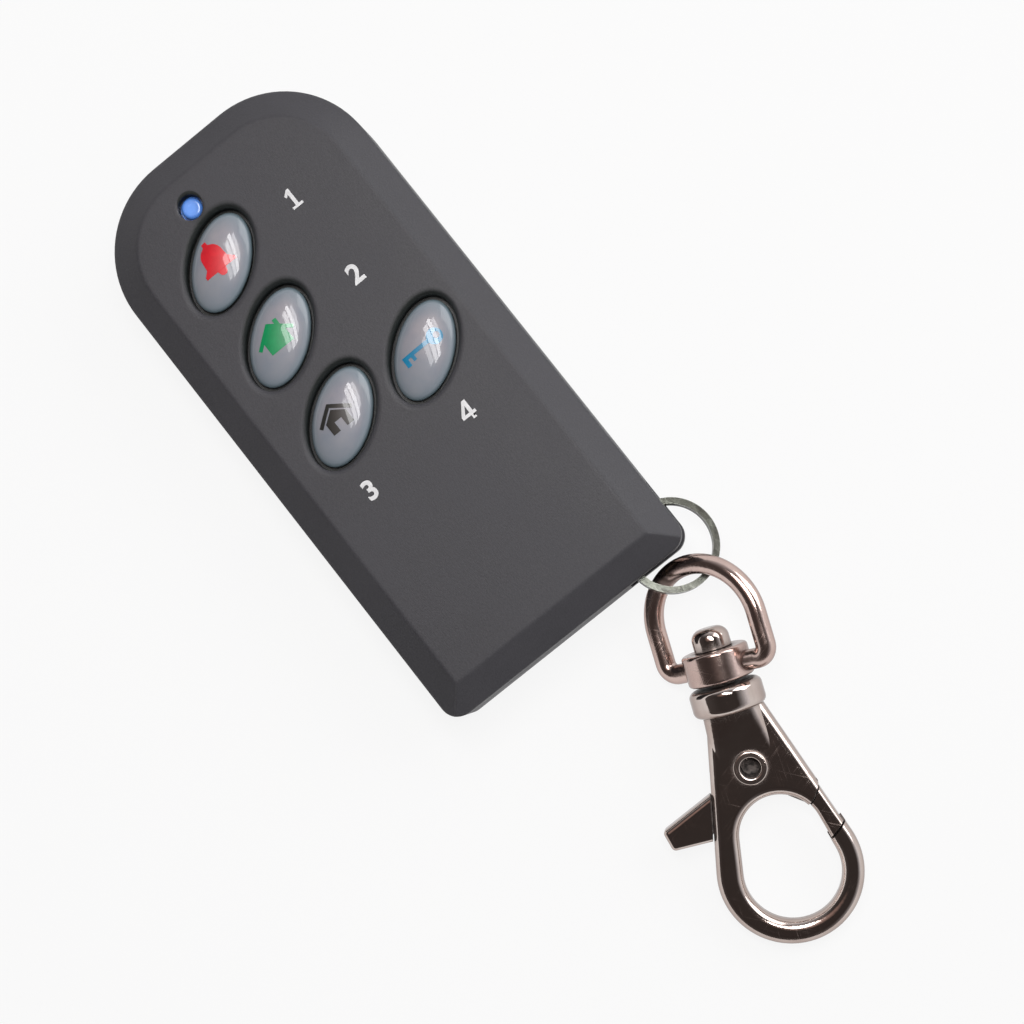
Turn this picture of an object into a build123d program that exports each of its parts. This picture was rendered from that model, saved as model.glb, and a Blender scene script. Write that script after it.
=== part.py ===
from build123d import *
import math
import os

# Wireless alarm remote: a bevelled two-shell casing with four oval buttons and a coin cell,
# a split ring through one corner of the casing, and a swivel snap hook on the ring.
# Millimetres. The origin is the middle of the casing's back face.
# +X is the right side, +Y the rounded end, +Z points out of the button face.

# How far a cut runs past a face, and how deep a joined piece runs into its neighbour
cut_past = 1.0
weld_depth = 0.1

# Casing
body_width = 35.0
body_length = 74.2
body_thickness = 12.4
rounded_end_radius = 12.4
square_end_radius = 2.3
bevel_run = 3.4
bevel_drop = 2.2
face_edge_rounding = 0.45
back_edge_rounding = 1.3
side_wall = 1.8
front_wall = 1.6
back_wall = 1.6
seam_height = 6.4
seam_groove = 0.2
lip_height = 0.7
lip_thickness = 0.75
lip_clearance = 0.05
inner_corner_radius = 0.5

# Buttons: ovals whose long axis leans away from the X axis
cap_half_length = 6.05
cap_half_width = 3.5
button_lean = 38.5
button_gap = 0.42
button_hole_rounding = 0.6
cap_recess = 1.0
dome_height = 1.35
flange_step = 0.75
flange_thickness = 0.8
flange_clearance = 0.05
button_travel = 0.45
left_column_share = -0.1543
right_column_share = 0.2014
top_row_from_end = 14.45
middle_row_from_end = 25.9
bottom_row_from_end = 37.9
left_column_x = left_column_share * body_width
right_column_x = right_column_share * body_width
top_row_y = body_length / 2 - top_row_from_end
middle_row_y = body_length / 2 - middle_row_from_end
bottom_row_y = body_length / 2 - bottom_row_from_end
button_places = {
    "red": (left_column_x, top_row_y),
    "green": (left_column_x, middle_row_y),
    "black": (left_column_x, bottom_row_y),
    "blue": (right_column_x, bottom_row_y),
}

# Indicator light
light_off_column = 1.2
light_from_end = 7.1
light_x = left_column_x + light_off_column
light_y = body_length / 2 - light_from_end
light_hole_radius = 1.55
light_pipe_radius = 1.3
light_pipe_recess = 0.55
light_flange_radius = 1.8
light_flange_thickness = 0.8
light_pipe_rounding = 0.43
light_chip_gap = 0.1
light_chip_length = 2.0
light_chip_width = 1.25
light_chip_height = 0.8

# Circuit board and what is soldered to it
board_bottom = 5.9
board_thickness = 1.0
board_side_gap = 0.5
switch_side = 5.2
switch_height = 1.9
switch_bore_radius = 1.45
switch_corner_cut = 0.35
switch_lead_spread = 3.1
plunger_radius = 1.35
plunger_length = 1.4
plunger_floor_gap = 0.05
stem_radius = 1.5
solder_lead = 0.7
solder_lead_height = 0.35
antenna_width = 1.2
antenna_inset = 0.8
antenna_thickness = 0.1
antenna_above_side_screw = 6.6
encoder_from_side = 11.1
encoder_from_end = 23.1
encoder_place = (body_width / 2 - encoder_from_side, body_length / 2 - encoder_from_end)
encoder_length = 8.6
encoder_width = 4.0
encoder_height = 1.5
encoder_leads = 7
encoder_lead_width = 0.45
encoder_standoff = 0.15
resonator_from_side = 13.7
resonator_from_end = 9.7
resonator_place = (body_width / 2 - resonator_from_side, body_length / 2 - resonator_from_end)
resonator_radius = 2.6
resonator_height = 2.2
resonator_rim = 0.35
transistor_from_side = 6.5
transistor_from_end = 15.5
transistor_place = (body_width / 2 - transistor_from_side, body_length / 2 - transistor_from_end)
transistor_size = (2.9, 1.3, 1.0)
transistor_lead_pitch = 0.95
trimmer_from_side = 6.3
trimmer_from_end = 28.7
trimmer_place = (body_width / 2 - trimmer_from_side, body_length / 2 - trimmer_from_end)
trimmer_radius = 1.5
trimmer_base_side = 3.3
trimmer_height = 1.3
trimmer_slot = 0.4
resistor_size = (1.6, 0.8, 0.5)
resistor_from_side = 5.5
resistor_below_buttons = 8.6
resistor_row = (resistor_from_side - body_width / 2, bottom_row_y - resistor_below_buttons)
resistor_pitch = 2.6
resistor_count = 6
capacitor_size = (2.0, 1.25, 0.9)
capacitor_from_side = 8.9
capacitor_from_end = 21.5
capacitor_row = (body_width / 2 - capacitor_from_side, capacitor_from_end - body_length / 2)
capacitor_pitch = 2.4
capacitor_count = 3

# Coin cell and its turning cover
cell_off_middle = -2.0
cell_from_end = 19.6
cell_centre = (cell_off_middle, cell_from_end - body_length / 2)
cell_radius = 10.0
cell_height = 3.2
cell_cap_radius = 8.8
cell_cap_height = 0.5
cell_edge_rounding = 0.25
cell_floor = 1.3
cover_radius = 12.0
cover_running_gap = 0.15
cover_recess = 0.15
cover_flange_thickness = 0.85
cover_cup_wall = 0.65
cover_floor = 1.2
cover_turn = 45.0
ledge_width = 1.1
ledge_thickness = 0.85
ledge_boss_wall = 1.2
lug_count = 3
lug_angle = 26.0
lug_play_angle = 4.0
lug_reach = 1.0
lug_thickness = 0.65
lug_gap = 0.05
coin_slot_length = 13.0
coin_slot_width = 1.8
coin_slot_depth = 0.6
seal_width = 0.8
seal_thickness = 0.6
contact_thickness = 0.25
contact_width = 4.0
contact_foot = 3.0
contact_side_gap = 0.05
contact_tip_length = 0.75
contact_drop_start = 3.5

# Case screws
screw_top_from_right = 8.2
screw_top_from_end = 9.2
screw_bottom_from_corner = 4.7
screw_side_from_right = 4.6
screw_side_from_end = 26.6
screw_places = (
    (body_width / 2 - screw_top_from_right, body_length / 2 - screw_top_from_end),
    (-body_width / 2 + screw_bottom_from_corner, -body_length / 2 + screw_bottom_from_corner),
    (body_width / 2 - screw_side_from_right, screw_side_from_end - body_length / 2),
)
screw_shank_radius = 0.95
screw_head_radius = 1.7
screw_head_height = 1.2
screw_head_recess = 0.3
screw_head_rounding = 0.4
screw_tip_room = 0.2
screw_grip_in_boss = 2.7
screw_cross_length = 2.2
screw_cross_width = 0.5
screw_cross_depth = 0.6
screw_hole_clearance = 0.12
screw_head_clearance = 0.2
screw_post_radius = 2.3
screw_boss_radius = 2.1

# Corner pocket with the steel post that holds the split ring
post_from_right = 3.4
post_from_end = 4.2
post_radius = 1.25
post_seat_depth = 1.8
pocket_height = 5.0
pocket_wall = 1.2
pocket_clearance = 0.4

# Split ring: two flat turns joined by a short step
ring_mean_radius = 5.3
ring_wire_width = 0.8
ring_wire_height = 0.42
ring_turn_gap = 0.42
ring_step_angle = 30.0
ring_step_sections = 4
ring_step_place = 120.0
ring_play = 0.1
ring_check_step = 5
ring_level = 5.6
ring_heading = -73.0
ring_tilt = 12.0
ring_swing_back = 10.0
ring_swing_out = 45.0

# Where the snap hook hangs on the split ring
link_place = -97.0
link_play = 2.4
link_lift = 0.8
link_side = -0.05
clasp_turn = -22.3
clasp_slope = 5.7
eye_roll = -31.0

# Swivel eye, drawn with its axis along Y and the ring side at +Y
eye_wire_radius = 1.2
eye_half_width = 7.1
eye_bow_centre = 7.1
eye_bar_centre = 1.8
eye_corner_radius = 1.5
eye_boss_radius = 4.0
eye_boss_bottom = 0.1
eye_boss_height = 3.8
eye_boss_rounding = 0.45
swivel_gap = 0.5

# Swivel rivet
rivet_shank_radius = 1.4
rivet_running_gap = 0.05
rivet_head_radius = 2.25
rivet_head_height = 2.5
rivet_head_gap = 0.1
rivet_head_rounding = 1.35
rivet_seat_depth = 3.2

# Snap hook
hook_thickness = 3.0
hook_collar_radius = 4.4
hook_collar_height = 3.2
hook_collar_rounding = 0.8
hook_neck_width = 6.7
hook_neck_thickness = 5.4
hook_neck_rounding = 2.0
hook_neck_end = -11.2
hook_neck_end_width = 8.2
hook_neck_end_thickness = 2.2
hook_neck_end_rounding = 0.85
hook_outer_centre = (1.3, -23.6)
hook_outer_radius = 8.65
hook_neck_left = -3.05
hook_neck_right = 3.75
hook_loop_lower_centre = (1.55, -23.7)
hook_loop_lower_radius = 5.75
hook_loop_upper_centre = (1.4, -19.3)
hook_loop_upper_radius = 4.85
hook_edge_rounding = 1.1

# Lever with the gate at one end and the thumb tab at the other
pivot_place = (0.28, -10.5)
gate_inner_radius = 8.1
gate_outer_radius = 12.7
gate_clearance = 0.25
gate_inset = 0.2
gate_lap_length = 0.8
gate_lap_level = -0.3
gate_first_angle = -14.0
gate_last_angle = -70.0
lever_opening = 22.0
gate_root_depth = 1.0
lever_plate_thickness = 1.1
lever_slot_gap = 0.1
lever_hub_radius = 2.7
lever_arm_half_width = 1.5
lever_arm_angle = -38.0
lever_slot_play = 5.0
tab_link_points = ((-6.3, -12.9), (-6.9, -17.8))
tab_points = ((-4.2, -12.0), (-5.4, -17.85), (-11.2, -17.7), (-11.8, -15.2))
tab_hook_gap = 0.12
tab_corner_radius = 0.6
tab_thickness = 2.6
tab_rounding = 0.6
lever_rivet_radius = 1.5
lever_rivet_bore = 1.2
lever_rivet_floor = 0.6
lever_rivet_head_radius = 2.05
lever_rivet_head_height = 0.45
lever_rivet_head_rounding = 0.25
lever_rivet_head_gap = 0.1
lever_running_gap = 0.05
spring_thickness = 0.22
spring_gap = 0.35
spring_width = 0.9
spring_first_angle = 25.0
spring_last_angle = 155.0

# Sizes that follow from the ones above
half_width = body_width / 2
half_length = body_length / 2
front_inside = body_thickness - front_wall
board_top = board_bottom + board_thickness
antenna_end = screw_side_from_end - half_length + antenna_above_side_screw
switch_top = board_top + switch_height
cap_rim = body_thickness - cap_recess
flange_top = front_inside - flange_clearance
flange_bottom = flange_top - flange_thickness
stem_bottom = switch_top + button_travel + flange_clearance
screw_head_top = screw_head_recess + screw_head_height
screw_tip = board_top + screw_grip_in_boss
bevel_angle = math.atan2(bevel_drop, bevel_run)
inner_top_inset = bevel_run + front_wall * math.tan(bevel_angle / 2)
inner_bevel_run = inner_top_inset - side_wall
inner_bevel_drop = inner_bevel_run * bevel_drop / bevel_run

post_x = half_width - post_from_right
post_y = -half_length + post_from_end
ring_inner_radius = ring_mean_radius - ring_wire_width / 2
ring_outer_radius = ring_mean_radius + ring_wire_width / 2
ring_reach = ring_inner_radius - post_radius - ring_play
ring_x = post_x + ring_reach * math.cos(math.radians(ring_heading))
ring_y = post_y + ring_reach * math.sin(math.radians(ring_heading))
ring_furthest_left = post_x + ring_reach * math.cos(math.radians(ring_heading - ring_swing_back))
ring_furthest_up = post_y + ring_reach * math.sin(math.radians(ring_heading + ring_swing_out))
pocket_left = ring_furthest_left - ring_outer_radius - pocket_clearance
pocket_end = ring_furthest_up + ring_outer_radius + pocket_clearance
pocket_bottom = ring_level - pocket_height / 2
pocket_top = ring_level + pocket_height / 2

counterbore_radius = cover_radius + cover_running_gap
ledge_inner_radius = counterbore_radius - ledge_width
cover_flange_top = cover_recess + cover_flange_thickness
ledge_bottom = cover_flange_top + seal_thickness
ledge_top = ledge_bottom + ledge_thickness
cup_outer_radius = ledge_inner_radius - cover_running_gap
cup_inner_radius = cup_outer_radius - cover_cup_wall
lug_bottom = ledge_top + lug_gap
lug_top = lug_bottom + lug_thickness
lug_radius = cup_outer_radius + lug_reach

eye_boss_top = eye_boss_bottom + eye_boss_height
bow_distance = eye_bow_centre + eye_half_width
heading = Vector(-math.sin(math.radians(clasp_turn)), math.cos(math.radians(clasp_turn)), 0)
sideways = Vector(math.cos(math.radians(clasp_turn)), math.sin(math.radians(clasp_turn)), 0)
link_point = Vector(
    ring_x + ring_mean_radius * math.cos(math.radians(link_place)),
    ring_y + ring_mean_radius * math.sin(math.radians(link_place)),
    ring_level,
)
bow_point = link_point + heading * link_play + sideways * link_side + Vector(0, 0, link_lift)
clasp_run = bow_distance * math.cos(math.radians(clasp_slope))
clasp_drop = bow_distance * math.sin(math.radians(clasp_slope))
clasp_origin = bow_point - heading * clasp_run - Vector(0, 0, clasp_drop)
clasp_frame = Location(clasp_origin) * Rot(0, 0, clasp_turn) * Rot(clasp_slope, 0, 0)
eye_frame = clasp_frame * Rot(0, eye_roll, 0)

parts = {}


def box_between(low, high):
    """A box given by its lowest and highest corners."""
    size = [b - a for a, b in zip(low, high)]
    middle = [(a + b) / 2 for a, b in zip(low, high)]
    return Pos(*middle) * Box(*size)


def disc(place, radius, low, high):
    """A cylinder along Z between two heights."""
    return Pos(place[0], place[1], (low + high) / 2) * Cylinder(radius, high - low)


def tube(place, outer, inner, low, high):
    """A cylinder along Z with a bore."""
    return disc(place, outer, low, high) - disc(place, inner, low - cut_past, high + cut_past)


def y_disc(radius, low, high):
    """A cylinder along Y between two stations."""
    return Pos(0, (low + high) / 2, 0) * Rot(90, 0, 0) * Cylinder(radius, high - low)


def raised(sketch, low, high):
    """A flat shape extruded between two heights."""
    return extrude(Pos(0, 0, low) * sketch, high - low)


def sector(centre, radius, first, last):
    """A pie slice from the first angle to the last, in degrees, no wider than a half turn."""
    steps = (first, (first + last) / 2, last)
    arc_points = []
    for angle in steps:
        turn = math.radians(angle)
        arc_points.append((centre[0] + radius * math.cos(turn), centre[1] + radius * math.sin(turn)))
    edges = [
        Line(centre, arc_points[0]),
        ThreePointArc(*arc_points),
        Line(arc_points[2], centre),
    ]
    return make_face(edges)


def casing_outline(inset, square_radius):
    """The casing's plan shape, drawn in by the inset all round."""
    shape = Rectangle(2 * (half_width - inset), 2 * (half_length - inset))
    shape = fillet(shape.vertices().group_by(Axis.Y)[-1], rounded_end_radius - inset)
    if square_radius > 0:
        shape = fillet(shape.vertices().group_by(Axis.Y)[0], square_radius)
    return shape


def bevelled_block(inset, square_radius, low, high, run, drop):
    """A block of the casing's plan shape with a sloping band round its top face."""
    walls = raised(casing_outline(inset, square_radius), low, high)
    straight = raised(casing_outline(inset, 0), low, high - drop)
    wide = Pos(0, 0, high - drop) * casing_outline(inset, 0)
    narrow = Pos(0, 0, high) * casing_outline(inset + run, 0)
    slope = loft([wide, narrow], ruled=True)
    return (straight + slope) & walls


def pocket_space():
    """The room in the corner that the split ring swings in."""
    return box_between(
        (pocket_left, -half_length - cut_past, pocket_bottom),
        (half_width + cut_past, pocket_end, pocket_top),
    )


def pocket_surround(low, high):
    """The solid corner round the pocket, before the pocket is cut."""
    return box_between(
        (pocket_left - pocket_wall, -half_length, low),
        (half_width, pocket_end + pocket_wall, high),
    )


def post_seat():
    """The hole that takes both ends of the corner post."""
    return disc((post_x, post_y), post_radius, pocket_bottom - post_seat_depth, pocket_top + post_seat_depth)


def oval(place, grow):
    """A button's oval, larger all round by the given amount."""
    return Pos(*place) * Rot(0, 0, button_lean) * Ellipse(cap_half_length + grow, cap_half_width + grow)


def lip_band(clearance):
    """The plan shape of the tongue at the seam, or of its groove."""
    outside = casing_outline(side_wall - lip_thickness - clearance, square_end_radius / 2)
    return outside - casing_outline(side_wall, inner_corner_radius)


def make_front_shell():
    """Button-side half: bevelled face, holes for the buttons and the light, screw bosses."""
    shell = bevelled_block(0, square_end_radius, seam_height, body_thickness, bevel_run, bevel_drop)
    shell = fillet(shell.faces().sort_by(Axis.Z)[-1].edges(), face_edge_rounding)
    shell = chamfer(shell.faces().sort_by(Axis.Z)[0].edges(), seam_groove)
    corner = shell & pocket_surround(seam_height, body_thickness)
    low = seam_height - cut_past
    radius = inner_corner_radius
    shell -= bevelled_block(side_wall, radius, low, front_inside, inner_bevel_run, inner_bevel_drop)
    shell += corner
    for place in screw_places:
        boss = disc(place, screw_boss_radius, board_top, front_inside + front_wall / 2)
        shell += boss
        shell -= disc(place, screw_shank_radius, board_top - cut_past, screw_tip + screw_tip_room)
    shell -= raised(lip_band(lip_clearance), seam_height - cut_past, seam_height + lip_height + lip_clearance)
    shell -= pocket_space()
    shell -= post_seat()
    for place in button_places.values():
        shell -= raised(oval(place, button_gap), front_inside - cut_past, body_thickness + cut_past)
    shell -= disc((light_x, light_y), light_hole_radius, front_inside - cut_past, body_thickness + cut_past)
    return round_button_holes(shell)


def round_button_holes(shell):
    """Soften the rims of the button holes on the face."""
    face = shell.faces().sort_by(Axis.Z)[-1]
    rims = [wire for wire in face.inner_wires() if abs(wire.center().Y - light_y) > light_hole_radius]
    edges = [edge for wire in rims for edge in wire.edges()]
    return fillet(edges, button_hole_rounding)


def make_back_shell():
    """Back half: floor, screw posts, tongue at the seam, battery opening with its ledge."""
    shell = raised(casing_outline(0, square_end_radius), 0, seam_height)
    shell = fillet(shell.faces().sort_by(Axis.Z)[0].edges(), back_edge_rounding)
    shell = chamfer(shell.faces().sort_by(Axis.Z)[-1].edges(), seam_groove)
    corner = shell & pocket_surround(0, seam_height)
    shell -= raised(casing_outline(side_wall, inner_corner_radius), back_wall, seam_height + cut_past)
    shell += corner
    shell += raised(lip_band(0), seam_height - lip_height, seam_height + lip_height)
    for place in screw_places:
        shell += disc(place, screw_post_radius, back_wall / 2, board_bottom)
    boss = disc(cell_centre, counterbore_radius + ledge_boss_wall, back_wall / 2, ledge_top)
    room = raised(casing_outline(side_wall / 2, inner_corner_radius), 0, seam_height)
    shell += boss & room
    for place in screw_places:
        shell -= disc(place, screw_shank_radius + screw_hole_clearance, -cut_past, board_bottom + cut_past)
        shell -= disc(place, screw_head_radius + screw_head_clearance, -cut_past, screw_head_top)
    shell -= disc(cell_centre, counterbore_radius, -cut_past, ledge_bottom)
    shell -= disc(cell_centre, ledge_inner_radius, -cut_past, ledge_top + cut_past)
    for turn in lug_turns():
        notch = lug_sector(turn + cover_turn, lug_radius + cover_running_gap, lug_angle + lug_play_angle)
        shell -= raised(notch, ledge_bottom - cut_past, ledge_top + cut_past)
    shell -= pocket_space()
    shell -= post_seat()
    return shell


def lug_turns():
    """The angles of the cover's lugs round its centre."""
    return [90 + index * 360 / lug_count for index in range(lug_count)]


def lug_sector(turn, radius, width):
    """The plan shape of one lug or of the notch that it enters through."""
    return sector(cell_centre, radius, turn - width / 2, turn + width / 2)


def make_battery_cover():
    """Round cover with a coin slot, a cup round the cell and lugs that turn behind the ledge."""
    cover = disc(cell_centre, cover_radius, cover_recess, cover_flange_top)
    cover += disc(cell_centre, cup_outer_radius, cover_recess, lug_top)
    for turn in lug_turns():
        cover += raised(lug_sector(turn, lug_radius, lug_angle), lug_bottom, lug_top)
    cover -= disc(cell_centre, cup_inner_radius, cover_floor, lug_top + cut_past)
    slot = SlotOverall(coin_slot_length, coin_slot_width)
    slot = Pos(cell_centre[0], cell_centre[1]) * slot
    return cover - raised(slot, cover_recess - cut_past, cover_recess + coin_slot_depth)


def make_battery_cover_seal():
    """Flat rubber ring between the cover's flange and the ledge."""
    inner = cup_outer_radius + cover_running_gap / 2
    return tube(cell_centre, inner + seal_width, inner, cover_flange_top, ledge_bottom)


def make_coin_cell():
    """Coin cell with its wide can towards the cover and its cap towards the board."""
    can = disc(cell_centre, cell_radius, cell_floor, cell_floor + cell_height - cell_cap_height)
    can = fillet(can.edges(), cell_edge_rounding)
    top = cell_floor + cell_height
    cap = disc(cell_centre, cell_cap_radius, top - 2 * cell_cap_height, top)
    cap = fillet(cap.faces().sort_by(Axis.Z)[-1].edges(), cell_edge_rounding)
    return can + cap


def make_positive_contact():
    """Bent strip under the board whose end presses on the side of the cell."""
    side = cell_centre[1] + cell_radius
    foot = box_between(
        (cell_centre[0] - contact_width / 2, side + contact_side_gap, board_bottom - contact_thickness),
        (cell_centre[0] + contact_width / 2, side + contact_foot, board_bottom),
    )
    blade = box_between(
        (cell_centre[0] - contact_width / 2, side + contact_side_gap, contact_drop_start),
        (cell_centre[0] + contact_width / 2, side + contact_side_gap + contact_thickness, board_bottom),
    )
    return foot + blade


def make_negative_contact():
    """Sprung tongue under the board that presses on the cell's cap."""
    cell_top = cell_floor + cell_height
    start = cell_centre[0] - contact_foot * 2
    bend = cell_centre[0] - contact_foot
    tip = cell_centre[0] + contact_foot
    profile = Polygon(
        (start, board_bottom),
        (start, board_bottom - contact_thickness),
        (bend, board_bottom - contact_thickness),
        (tip - contact_tip_length, cell_top),
        (tip, cell_top),
        (tip, cell_top + contact_thickness),
        (bend + contact_thickness, board_bottom),
        align=None,
    )
    strip = extrude(Plane.XZ * profile, contact_width / 2, both=True)
    return Pos(0, cell_centre[1], 0) * strip


def make_case_screws():
    """Three pan-head screws that go in from the back."""
    screws = []
    for place in screw_places:
        head = disc(place, screw_head_radius, screw_head_recess, screw_head_top)
        head = fillet(head.faces().sort_by(Axis.Z)[0].edges(), screw_head_rounding)
        screw = head + disc(place, screw_shank_radius, screw_head_top - weld_depth, screw_tip)
        for turn in (0, 90):
            bar = Pos(*place) * Rot(0, 0, turn) * Rectangle(screw_cross_length, screw_cross_width)
            screw -= raised(bar, screw_head_recess - cut_past, screw_head_recess + screw_cross_depth)
        screws.append(screw)
    return Compound(children=screws)


def make_key_post():
    """Steel pin that stands in the corner pocket."""
    return post_seat()


def make_circuit_board():
    """Board on the screw posts, cut away at the corner pocket."""
    board = raised(casing_outline(side_wall + board_side_gap, inner_corner_radius), board_bottom, board_top)
    board -= box_between(
        (pocket_left - pocket_wall - board_side_gap, -half_length, board_bottom - cut_past),
        (half_width, pocket_end + pocket_wall + board_side_gap, board_top + cut_past),
    )
    hole_radius = screw_shank_radius + screw_hole_clearance
    for place in screw_places:
        board -= disc(place, hole_radius, board_bottom - cut_past, board_top + cut_past)
    return board


def make_antenna():
    """Copper loop along the board's edge at the rounded end."""
    outer = side_wall + board_side_gap + antenna_inset
    band = casing_outline(outer, inner_corner_radius)
    band -= casing_outline(outer + antenna_width, inner_corner_radius)
    loop = raised(band, board_top, board_top + antenna_thickness)
    keep = box_between(
        (-half_width, antenna_end, board_bottom),
        (half_width, half_length, body_thickness),
    )
    return loop & keep


def make_light_chip():
    """Light-emitting chip on the board, under the light pipe."""
    return box_between(
        (light_x - light_chip_length / 2, light_y - light_chip_width / 2, board_top),
        (light_x + light_chip_length / 2, light_y + light_chip_width / 2, board_top + light_chip_height),
    )


def make_light_pipe():
    """Clear plastic pipe that shows the light a little below the face."""
    place = (light_x, light_y)
    low = board_top + light_chip_height + light_chip_gap
    pipe = disc(place, light_pipe_radius, low, body_thickness - light_pipe_recess)
    pipe = fillet(pipe.faces().sort_by(Axis.Z)[-1].edges(), light_pipe_rounding)
    return pipe + disc(place, light_flange_radius, front_inside - light_flange_thickness, front_inside)


def make_button_cap(place):
    """Oval cap with a flange that stops under the front wall, and a stem over the switch."""
    cap = raised(oval(place, 0), flange_bottom, cap_rim)
    cap += raised(oval(place, flange_step), flange_bottom, flange_top)
    return cap + disc(place, stem_radius, stem_bottom, flange_bottom + weld_depth)


def make_button_dome(place):
    """Clear domed oval on top of the cap."""
    ball = scale(Sphere(1), by=(cap_half_length, cap_half_width, dome_height))
    low = (-cap_half_length, -cap_half_width, 0)
    upper = ball & box_between(low, (cap_half_length, cap_half_width, dome_height))
    return Pos(place[0], place[1], cap_rim) * Rot(0, 0, button_lean) * upper


def make_switch_housing(place):
    """Square push switch with a bore for its plunger and four soldered leads."""
    half = switch_side / 2
    body = box_between(
        (place[0] - half, place[1] - half, board_top),
        (place[0] + half, place[1] + half, switch_top),
    )
    body = chamfer(body.edges().filter_by(Axis.Z), switch_corner_cut)
    for side in (-1, 1):
        for end in (-1, 1):
            x = place[0] + side * (half + solder_lead / 4)
            y = place[1] + end * switch_lead_spread / 2
            lead = Box(solder_lead, solder_lead, solder_lead_height)
            body += Pos(x, y, board_top + solder_lead_height / 2) * lead
    low = stem_bottom - plunger_length - button_travel - plunger_floor_gap
    return body - disc(place, switch_bore_radius, low, switch_top + cut_past)


def make_switch_plunger(place):
    """Round plunger between the switch and the cap's stem."""
    return disc(place, plunger_radius, stem_bottom - plunger_length, stem_bottom)


def make_encoder_chip():
    """Flat chip with a row of leads along each long side."""
    x, y = encoder_place
    low = board_top + encoder_standoff
    chip = Pos(x, y, low + encoder_height / 2) * Box(encoder_width, encoder_length, encoder_height)
    pitch = encoder_length / encoder_leads
    for index in range(encoder_leads):
        lead_y = y + (index - (encoder_leads - 1) / 2) * pitch
        for side in (-1, 1):
            middle = x + side * (encoder_width / 2 + solder_lead / 2)
            height = encoder_height / 2 + encoder_standoff
            lead = Box(solder_lead + 2 * weld_depth, encoder_lead_width, height)
            chip += Pos(middle - side * weld_depth, lead_y, board_top + height / 2) * lead
    return chip


def make_resonator_can():
    """Round metal can with a thin rim at its foot."""
    can = disc(resonator_place, resonator_radius, board_top, board_top + resonator_height)
    can = fillet(can.faces().sort_by(Axis.Z)[-1].edges(), resonator_rim)
    return can + disc(resonator_place, resonator_radius + resonator_rim, board_top, board_top + resonator_rim)


def make_transistor():
    """Small three-lead transistor."""
    x, y = transistor_place
    length, width, height = transistor_size
    body = Pos(x, y, board_top + height / 2) * Box(length, width, height)
    for lead_x, side in ((x - transistor_lead_pitch, 1), (x + transistor_lead_pitch, 1), (x, -1)):
        lead_y = y + side * (width / 2 + solder_lead / 4)
        lead = Box(encoder_lead_width, solder_lead, solder_lead_height)
        body += Pos(lead_x, lead_y, board_top + solder_lead_height / 2) * lead
    return body


def make_trimmer():
    """Round trimming capacitor with a screwdriver slot."""
    x, y = trimmer_place
    base_height = trimmer_height / 2
    base = Pos(x, y, board_top + base_height / 2) * Box(trimmer_base_side, trimmer_base_side, base_height)
    knob = disc(trimmer_place, trimmer_radius, board_top, board_top + trimmer_height)
    slot = Pos(x, y, board_top + trimmer_height) * Box(2 * trimmer_radius, trimmer_slot, trimmer_slot * 2)
    return base + knob - slot


def chip_row(size, start, pitch, count):
    """A row of equal small chips soldered side by side."""
    length, width, height = size
    chips = []
    for index in range(count):
        x = start[0] + index * pitch
        chips.append(Pos(x, start[1], board_top + height / 2) * Box(width, length, height))
    return Compound(children=chips)


def ring_section(angle, level):
    """The wire's cross-section at one angle round the split ring."""
    face = Plane.XZ * Pos(ring_mean_radius, level) * Rectangle(ring_wire_width, ring_wire_height)
    return Rot(0, 0, angle) * face


def make_split_ring():
    """Two flat turns of wire, joined by a sloping step that lies inside the casing."""
    level = (ring_wire_height + ring_turn_gap) / 2
    flat_turn = 360 - ring_step_angle
    upper = revolve(ring_section(0, level), Axis.Z, flat_turn)
    lower = revolve(ring_section(0, -level), Axis.Z, flat_turn)
    sections = []
    for index in range(ring_step_sections + 1):
        share = index / ring_step_sections
        sections.append(ring_section(flat_turn + share * ring_step_angle, level * (1 - 2 * share)))
    step = loft(sections, ruled=True)
    ring = upper + step + lower
    tilt = Rot(0, ring_tilt, 0) * Rot(0, 0, ring_step_place)
    return Pos(ring_x, ring_y, ring_level) * tilt * ring


def least_ring_gap():
    """The least distance between the two turns, measured on points along the flat turns."""
    level = (ring_wire_height + ring_turn_gap) / 2
    least = math.inf
    angles = range(0, int(360 - ring_step_angle), ring_check_step)
    for first in angles:
        for second in angles:
            turn = math.radians(first - second)
            across = 2 * ring_mean_radius * math.sin(abs(turn) / 2)
            least = min(least, math.hypot(across, 2 * level) - ring_wire_height)
    return least


def make_swivel_eye():
    """Cast D-shaped eye: a bow of round wire and a boss that turns on the swivel rivet."""
    side = eye_half_width
    bar = eye_bar_centre
    corner = eye_corner_radius
    path = Wire([
        Line((-side + corner, bar), (side - corner, bar)).edge(),
        RadiusArc((side - corner, bar), (side, bar + corner), -corner).edge(),
        Line((side, bar + corner), (side, eye_bow_centre)).edge(),
        ThreePointArc((side, eye_bow_centre), (0, bow_distance), (-side, eye_bow_centre)).edge(),
        Line((-side, eye_bow_centre), (-side, bar + corner)).edge(),
        RadiusArc((-side, bar + corner), (-side + corner, bar), -corner).edge(),
    ])
    section = Plane((0, bar, 0), x_dir=(0, 1, 0), z_dir=(1, 0, 0)) * Circle(eye_wire_radius)
    bow = sweep(section, path=path)
    boss = y_disc(eye_boss_radius, eye_boss_bottom, eye_boss_top)
    boss = fillet(boss.edges().filter_by(GeomType.CIRCLE), eye_boss_rounding)
    eye = bow + boss
    eye -= y_disc(rivet_shank_radius + rivet_running_gap, eye_boss_bottom - cut_past, eye_boss_top + cut_past)
    return eye_frame * eye


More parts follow.
